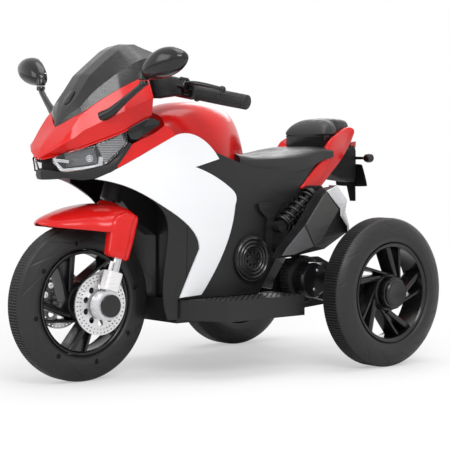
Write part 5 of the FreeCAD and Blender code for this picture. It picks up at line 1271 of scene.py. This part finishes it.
signal = lathe([(10, 6), (18, 5), (24, 3.6), (50, 3.2), (55, 5), (59, 8.4), (65, 10), (71, 9.6), (74, 8.4),
                (74.6, 6.5), (73.8, 6), (74.2, 0)], np.array([-418, 0, 418]) * MM, ACROSS, 48)
make_piece("signal_stalks", pair(signal), AMBER, ["turn_signals"], 35)

# %% [markdown]
# Each silencer is a faceted shell: a full outline at its inner side and a smaller face at its outer side,
# so that wide chamfers fall away below.  A Bevel modifier would make all chamfers equally wide; two
# outlines that are joined corner by corner give each its own width.

# %% Silencer shells
# Both outlines are given corner by corner as length and height.
SILENCER_FULL = [(-72, 224), (-84, 242), (-136, 288), (-186, 348), (-198, 358), (-230, 362), (-257, 334),
                 (-252, 312), (-263, 283), (-263, 269), (-199, 237), (-108, 225)]
SILENCER_FACE = [(-68, 230), (-78, 243), (-128, 287), (-176, 344), (-188, 353), (-193, 349), (-222, 318),
                 (-221, 313), (-199, 287), (-178, 262), (-154, 245), (-98, 231)]
FACE_SIDE = 177


def upright(flat, side):
    """Points from length and height in millimetres, at one distance from the middle of the vehicle."""
    return np.stack([flat[:, 0], np.full(len(flat), float(side)), flat[:, 1]], axis=1) * MM


def ring_at(corners, side, scale=1.0):
    """Closed outline with straight edges of eight steps each, scaled about its middle."""
    flat = np.array(corners, float)
    flat = flat.mean(0) + scale * (flat - flat.mean(0))
    flat = np.concatenate([np.linspace(a, b, 9)[:-1] for a, b in zip(flat, np.roll(flat, -1, axis=0))])
    return upright(flat, side)


silencer = with_ends(np.stack([ring_at(SILENCER_FULL, 134, 0.86), ring_at(SILENCER_FULL, 141),
                               ring_at(SILENCER_FULL, 158), ring_at(SILENCER_FACE, 175),
                               ring_at(SILENCER_FACE, FACE_SIDE, 0.97)]))
stub = lathe([(70, 9), (138, 9)], np.array([-118, 0, 239]) * MM, ACROSS, 40)
make_piece("silencer_shells", pair(silencer, stub), GUNMETAL, ["exhausts"], 20)

# %% [markdown]
# Two thin panels lie on the face of a silencer and a bright band folds round its end.  They could be faces
# of the shell with a finish of their own; as pieces that stand out a little they show their edges.  A panel
# is an outline lifted ring by ring, the band a strip with its columns on the face, along the fold and
# inside.

# %% Silencer panels and bands
FRONT_PANEL = [(-66, 230), (-77, 243), (-127, 286), (-152, 245), (-98, 231)]
REAR_PANEL = [(-129, 289), (-175, 343), (-187, 352), (-221, 317), (-178, 263), (-154, 246)]
BAND_FACE = [(-187, 355), (-205, 337), (-225, 318), (-226, 304), (-246, 281), (-247, 268)]
BAND_FOLD = [(-232, 365), (-246, 350), (-261, 335), (-256, 312), (-267, 284), (-267, 266)]


def face_panel(corners):
    """Thin plate with a bevelled edge on the outer face."""
    rows = [(0, -1), (1, -1), (1, 0.4), (0.975, 1.0), (0, 1.0)]
    return raised(ring_at(corners, FACE_SIDE, 0.985), ACROSS, rows)


def end_band():
    """Strip over the end of the shell: inner edge on the face, fold along the outline, back edge inside."""
    knots = np.arange(len(BAND_FACE))
    at = np.linspace(0, knots[-1], 41)
    columns = []
    for edge, side in ((BAND_FACE, 178.5), (BAND_FOLD, 160), (BAND_FOLD, 137)):
        flat = np.stack([np.interp(at, knots, row) for row in np.array(edge, float).T], axis=1)
        columns.append(upright(flat, side))
    return np.stack(columns, axis=1)


make_piece("silencer_front_panels", pair(face_panel(FRONT_PANEL)), SILENCER_PANEL, sharp=25)
make_piece("silencer_rear_panels", pair(face_panel(REAR_PANEL)), SILENCER_REAR, sharp=25)
band = end_band()
shell("silencer_bands", [band, mirrored(band)], 2, SILVER, ["exhaust_caps"], 20)

# %% [markdown]
# Behind the shocks a dark plate closes the body towards the rear wheels.  It is black plastic, and it is
# painted shade where the space under the tail lies in shadow.  It could be a filled curve with a
# thickness; one outline lifted ring by ring has its edges rounded as well.

# %% Rear guards of dark plastic and painted shade
SHADE_GUARD = [(-60, 216), (-112, 300), (-176, 362), (-222, 366), (-228, 300), (-196, 219)]
SHADE_GUARD_SIDE = 86
shade_guard = raised(upright(rounded_off(SHADE_GUARD, 2), SHADE_GUARD_SIDE), ACROSS,
               [(0, -2), (0.98, -2), (1, -1), (1, 1), (0.98, 2), (0, 2)])
# A dull black plate: black plastic, and painted shade in the dark space behind the shocks.
make_piece("rear_shade_guards", pair(shade_guard), DULL_BLACK)

# %% [markdown]
# The drive housing beside each rear wheel ends in a round cover.  A ring with many small ribs holds it, and
# two screws shine on its face.  An array of small blocks could stand for the ribs, but they wouldn't grow
# out of the ring.  All of it is turned, and the ribs are added to the radius.

# %% Drive covers
DRIVE_SPOT = np.array([-165, 0, 176]) * MM
DRIVE_SCREWS = np.array([(-170, 167, 196), (-162, 167, 158)]) * MM
RIBS = 44
STEPS_PER_DRIVE_RIB = 6
DRIVE_RIB_HEIGHT = 1.3 * MM
RIB_FOOT = 44 * MM


def ribbed_ring():
    """Ring turned about the axle; its widest part grows by a clipped sine round the ring."""
    profile = np.array([(108, 40), (112, 45), (115, 47), (134, 47), (139, 45), (140, 40), (139, 36)]) * MM
    steps = RIBS * STEPS_PER_DRIVE_RIB
    turn = np.linspace(0, 2 * np.pi, steps, endpoint=False)
    ribs = DRIVE_RIB_HEIGHT * np.clip(np.sin(RIBS * turn) * 2, 0, 1) * (profile[:, 1:] > RIB_FOOT)
    return with_ends(turned(profile, DRIVE_SPOT, ACROSS, steps, ribs))


cover = lathe([(136, 36), (160, 36), (165, 35.4), (168, 33.5), (168.6, 31.5), (167.2, 30.5), (167.0, 0)],
              DRIVE_SPOT)
screws = [lathe([(-2, 2.6), (1, 2.8), (1.8, 2.2), (2.1, 0)], spot, ACROSS, 20) for spot in DRIVE_SCREWS]
for name, grids, finish in (("drive_rings", pair(ribbed_ring()), BLACK),
                            ("drive_covers", pair(cover), GLOSS_BLACK),
                            ("drive_screws", pair(screws[0]) + pair(screws[1]), STEEL)):
    make_piece(name, grids, finish, sharp=30)

# %% [markdown]
# The speaker on each side shows raised rings round a circle of small sound holes.  Each ring could be a
# torus; one wavy profile turned about the axis gives them all in one skin, and the holes are pushed into
# it.

# %% Speaker rings
SPEAKER_SPOT = np.array([-42, 0, 223]) * MM
SPEAKER_STEPS = 160
SPEAKER_RADIUS = 42
SPEAKER_FACE, SPEAKER_BACK = 118.3, 112
SOUND_HOLES = 8
HOLE_CIRCLE = 14
HOLE_RADIUS = 1.4
HOLE_DEPTH = 4 * MM
# Radius, height and width of each raised ring.
SPEAKER_RINGS = ((39, 2.6, 2.2), (31, 2.2, 1.8), (24, 2.0, 1.6))


def speaker_grid():
    """Height over the radius is a sum of three bell curves; round pits are pushed in on a circle."""
    reach = np.r_[SPEAKER_RADIUS, np.linspace(SPEAKER_RADIUS, 0, 90)]
    height = sum(size * np.exp(-((reach - at) / wide) ** 2) for at, size, wide in SPEAKER_RINGS)
    profile = np.stack([SPEAKER_FACE + height, reach], axis=1) * MM
    profile[0, 0] = SPEAKER_BACK * MM
    grid = turned(profile, SPEAKER_SPOT, ACROSS, SPEAKER_STEPS)
    pitch = 2 * np.pi / SOUND_HOLES
    away = np.linspace(0, 2 * np.pi, SPEAKER_STEPS, endpoint=False) % pitch - pitch / 2
    off_hole = np.hypot(np.outer(reach, away), (reach - HOLE_CIRCLE)[:, None])
    grid[..., 1] -= HOLE_DEPTH * np.clip(2 - off_hole / HOLE_RADIUS, 0, 1)
    return with_ends(grid)


make_piece("speaker_rings", pair(speaker_grid()), GLOSS_BLACK)

# %% [markdown]
# Rows of small round studs give the footboards their grip.  An Array modifier could repeat a stud, but
# couldn't leave out those that the pedal would touch.  One stud is a low dome, and copies of it are placed
# by adding a list of spots to its points.

# %% Footboard studs
BOARD_LOW, BOARD_HIGH = (np.array(corner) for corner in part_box("footboards"))
PEDAL_LOW, PEDAL_HIGH = (np.array(corner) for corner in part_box("accelerator_pedal"))
BOARD_TOP = 152 * MM
PEDAL_ROOM = 10 * MM
STUD_RADIUS = 2.6 * MM
STUD_HEIGHT = 1.4 * MM


def stud_spots():
    """Even rows over both treads, without those that the pedal would touch."""
    x = np.linspace(BOARD_LOW[0] + 14 * MM, BOARD_HIGH[0] - 40 * MM, 15)
    y = np.linspace(128, 182, 5) * MM
    spots = np.stack(np.meshgrid(x, np.r_[y, -y], [BOARD_TOP]), axis=-1).reshape(-1, 3)
    under = np.all((spots > PEDAL_LOW - PEDAL_ROOM) & (spots < PEDAL_HIGH + PEDAL_ROOM), axis=1)
    return spots[~under]


def dome_grid():
    """Low dome: rings that shrink by a cosine while they rise by a sine."""
    ring = np.linspace(0, 2 * np.pi, 10, endpoint=False)
    rows = np.array([(1, -0.3), (0.92, 0.35), (0.6, 0.85), (0, 1.0)])
    return np.stack([np.outer(rows[:, 0], np.cos(ring)) * STUD_RADIUS,
                     np.outer(rows[:, 0], np.sin(ring)) * STUD_RADIUS,
                     np.repeat(rows[:, 1:], len(ring), axis=1) * STUD_HEIGHT], axis=-1)


studs = dome_grid() + stud_spots()[:, None, None]
make_piece("footboard_studs", tubes(*studs), BLACK)

# %% [markdown]
# A photograph of a toy for a catalogue is taken in front of white.  A bent paper backdrop would show in
# views from behind, so the floor is a wide pale disc that fades to white far out, and no horizon shows.

# %% Floor
FLOOR_RADIUS = 30


def floor_finish():
    """Matt pale grey near the object, mixed with plain white by the distance where the camera looks."""
    material = bpy.data.materials.new("studio floor")
    material.use_nodes = True
    tree = material.node_tree
    tree.nodes.clear()
    place = add_node(tree, "TexCoord").outputs["Object"]
    far = add_node(tree, "VectorMath", [(0, place)], operation="LENGTH").outputs["Value"]
    fade = add_node(tree, "MapRange", [("Value", far)], interpolation_type="SMOOTHSTEP", From_Min=0.5,
                    From_Max=2.2, To_Min=0.45)
    share = maths(tree, "MULTIPLY", fade.outputs[0], add_node(tree, "LightPath").outputs["Is Camera Ray"])
    matt = add_node(tree, "BsdfDiffuse", Color=(0.86, 0.86, 0.86, 1))
    white = add_node(tree, "Emission")
    mix = add_node(tree, "MixShader", [(0, share), (1, matt.outputs[0]), (2, white.outputs[0])])
    add_node(tree, "OutputMaterial", [("Surface", mix.outputs[0])])
    return material


def fading_floor():
    """Flat disc of rings round the middle."""
    rows = np.linspace(0, FLOOR_RADIUS, 40)
    turn = np.linspace(0, 2 * np.pi, 64, endpoint=False)
    flat = np.stack([np.outer(rows, np.cos(turn)), np.outer(rows, np.sin(turn)),
                     np.zeros((len(rows), len(turn)))], axis=-1)
    mesh = bpy.data.meshes.new("floor")
    faces = grid_faces(len(rows), len(turn), False, True)
    mesh.from_pydata(flat.reshape(-1, 3).tolist(), [], faces.tolist())
    mesh.materials.append(floor_finish())
    floor = bpy.data.objects.new("floor", mesh)
    bpy.context.scene.collection.objects.link(floor)
    print("floor reaches", FLOOR_RADIUS, "m")


fading_floor()

# %% [markdown]
# In a studio large soft lamps stand on both sides and above, and white walls fill the shadows.  A picture of
# a studio could light the scene; plain rectangles and a white world give the same soft edges without one.

# %% Light
AMBIENT = 0.55
MIDDLE = (0.0, 0.0, 0.3)


def white_world():
    """White where the camera, a mirror or glass looks at it; a softer level where it lights the scene."""
    world = bpy.data.worlds.new("studio")
    bpy.context.scene.world = world
    world.use_nodes = True
    tree = world.node_tree
    path = add_node(tree, "LightPath").outputs
    seen = maths(tree, "MAXIMUM", path["Is Camera Ray"], path["Is Glossy Ray"])
    seen = maths(tree, "MAXIMUM", seen, path["Is Transmission Ray"])
    level = add_node(tree, "MapRange", [("Value", seen)], To_Min=AMBIENT, To_Max=1.0)
    tree.links.new(level.outputs[0], tree.nodes["Background"].inputs["Strength"])
    tree.nodes["Background"].inputs["Color"].default_value = (1, 1, 1, 1)


def set_up(name, data, spot, target):
    """Lamp or camera at a spot, turned towards a target."""
    holder = bpy.data.objects.new(name, data)
    holder.location = spot
    holder.rotation_euler = (Vector(target) - Vector(spot)).to_track_quat("-Z", "Y").to_euler()
    bpy.context.scene.collection.objects.link(holder)
    return holder


def soft_lamp(name, spot, size, power):
    """Rectangle of light turned towards the middle of the object."""
    lamp = bpy.data.lights.new(name, "AREA")
    lamp.shape = "RECTANGLE"
    lamp.size, lamp.size_y = size
    lamp.energy = power
    set_up(name, lamp, spot, MIDDLE)


white_world()
soft_lamp("key", (1.2, 2.6, 2.4), (1.8, 1.2), 55)
soft_lamp("fill", (2.8, -0.6, 1.6), (1.6, 1.6), 24)
soft_lamp("top", (-0.3, 0.2, 2.8), (2.2, 1.4), 28)
soft_lamp("back", (-2.4, -1.6, 1.8), (1.6, 1.2), 20)
print("lamps:", [lamp.name for lamp in bpy.data.lights])

# %% [markdown]
# The toy was photographed from its left front corner, a little above the wheels and from some distance with
# a long lens, so near and far wheel differ little in size.  Place and lens could be set by eye; they were
# worked out from points whose position on the solids is known.

# %% Camera
EYE = (1.9236, 2.3596, 0.4451)
LOOK_AT = (-0.0704, 0.0, 0.2832)
camera = set_up("camera", bpy.data.cameras.new("camera"), EYE, LOOK_AT)
camera.data.sensor_width = 36
camera.data.lens = 121.43
bpy.context.scene.camera = camera
bpy.context.scene.view_settings.view_transform = "Standard"
print("camera stands", round(math.dist(EYE, LOOK_AT), 2), "m from what it looks at")
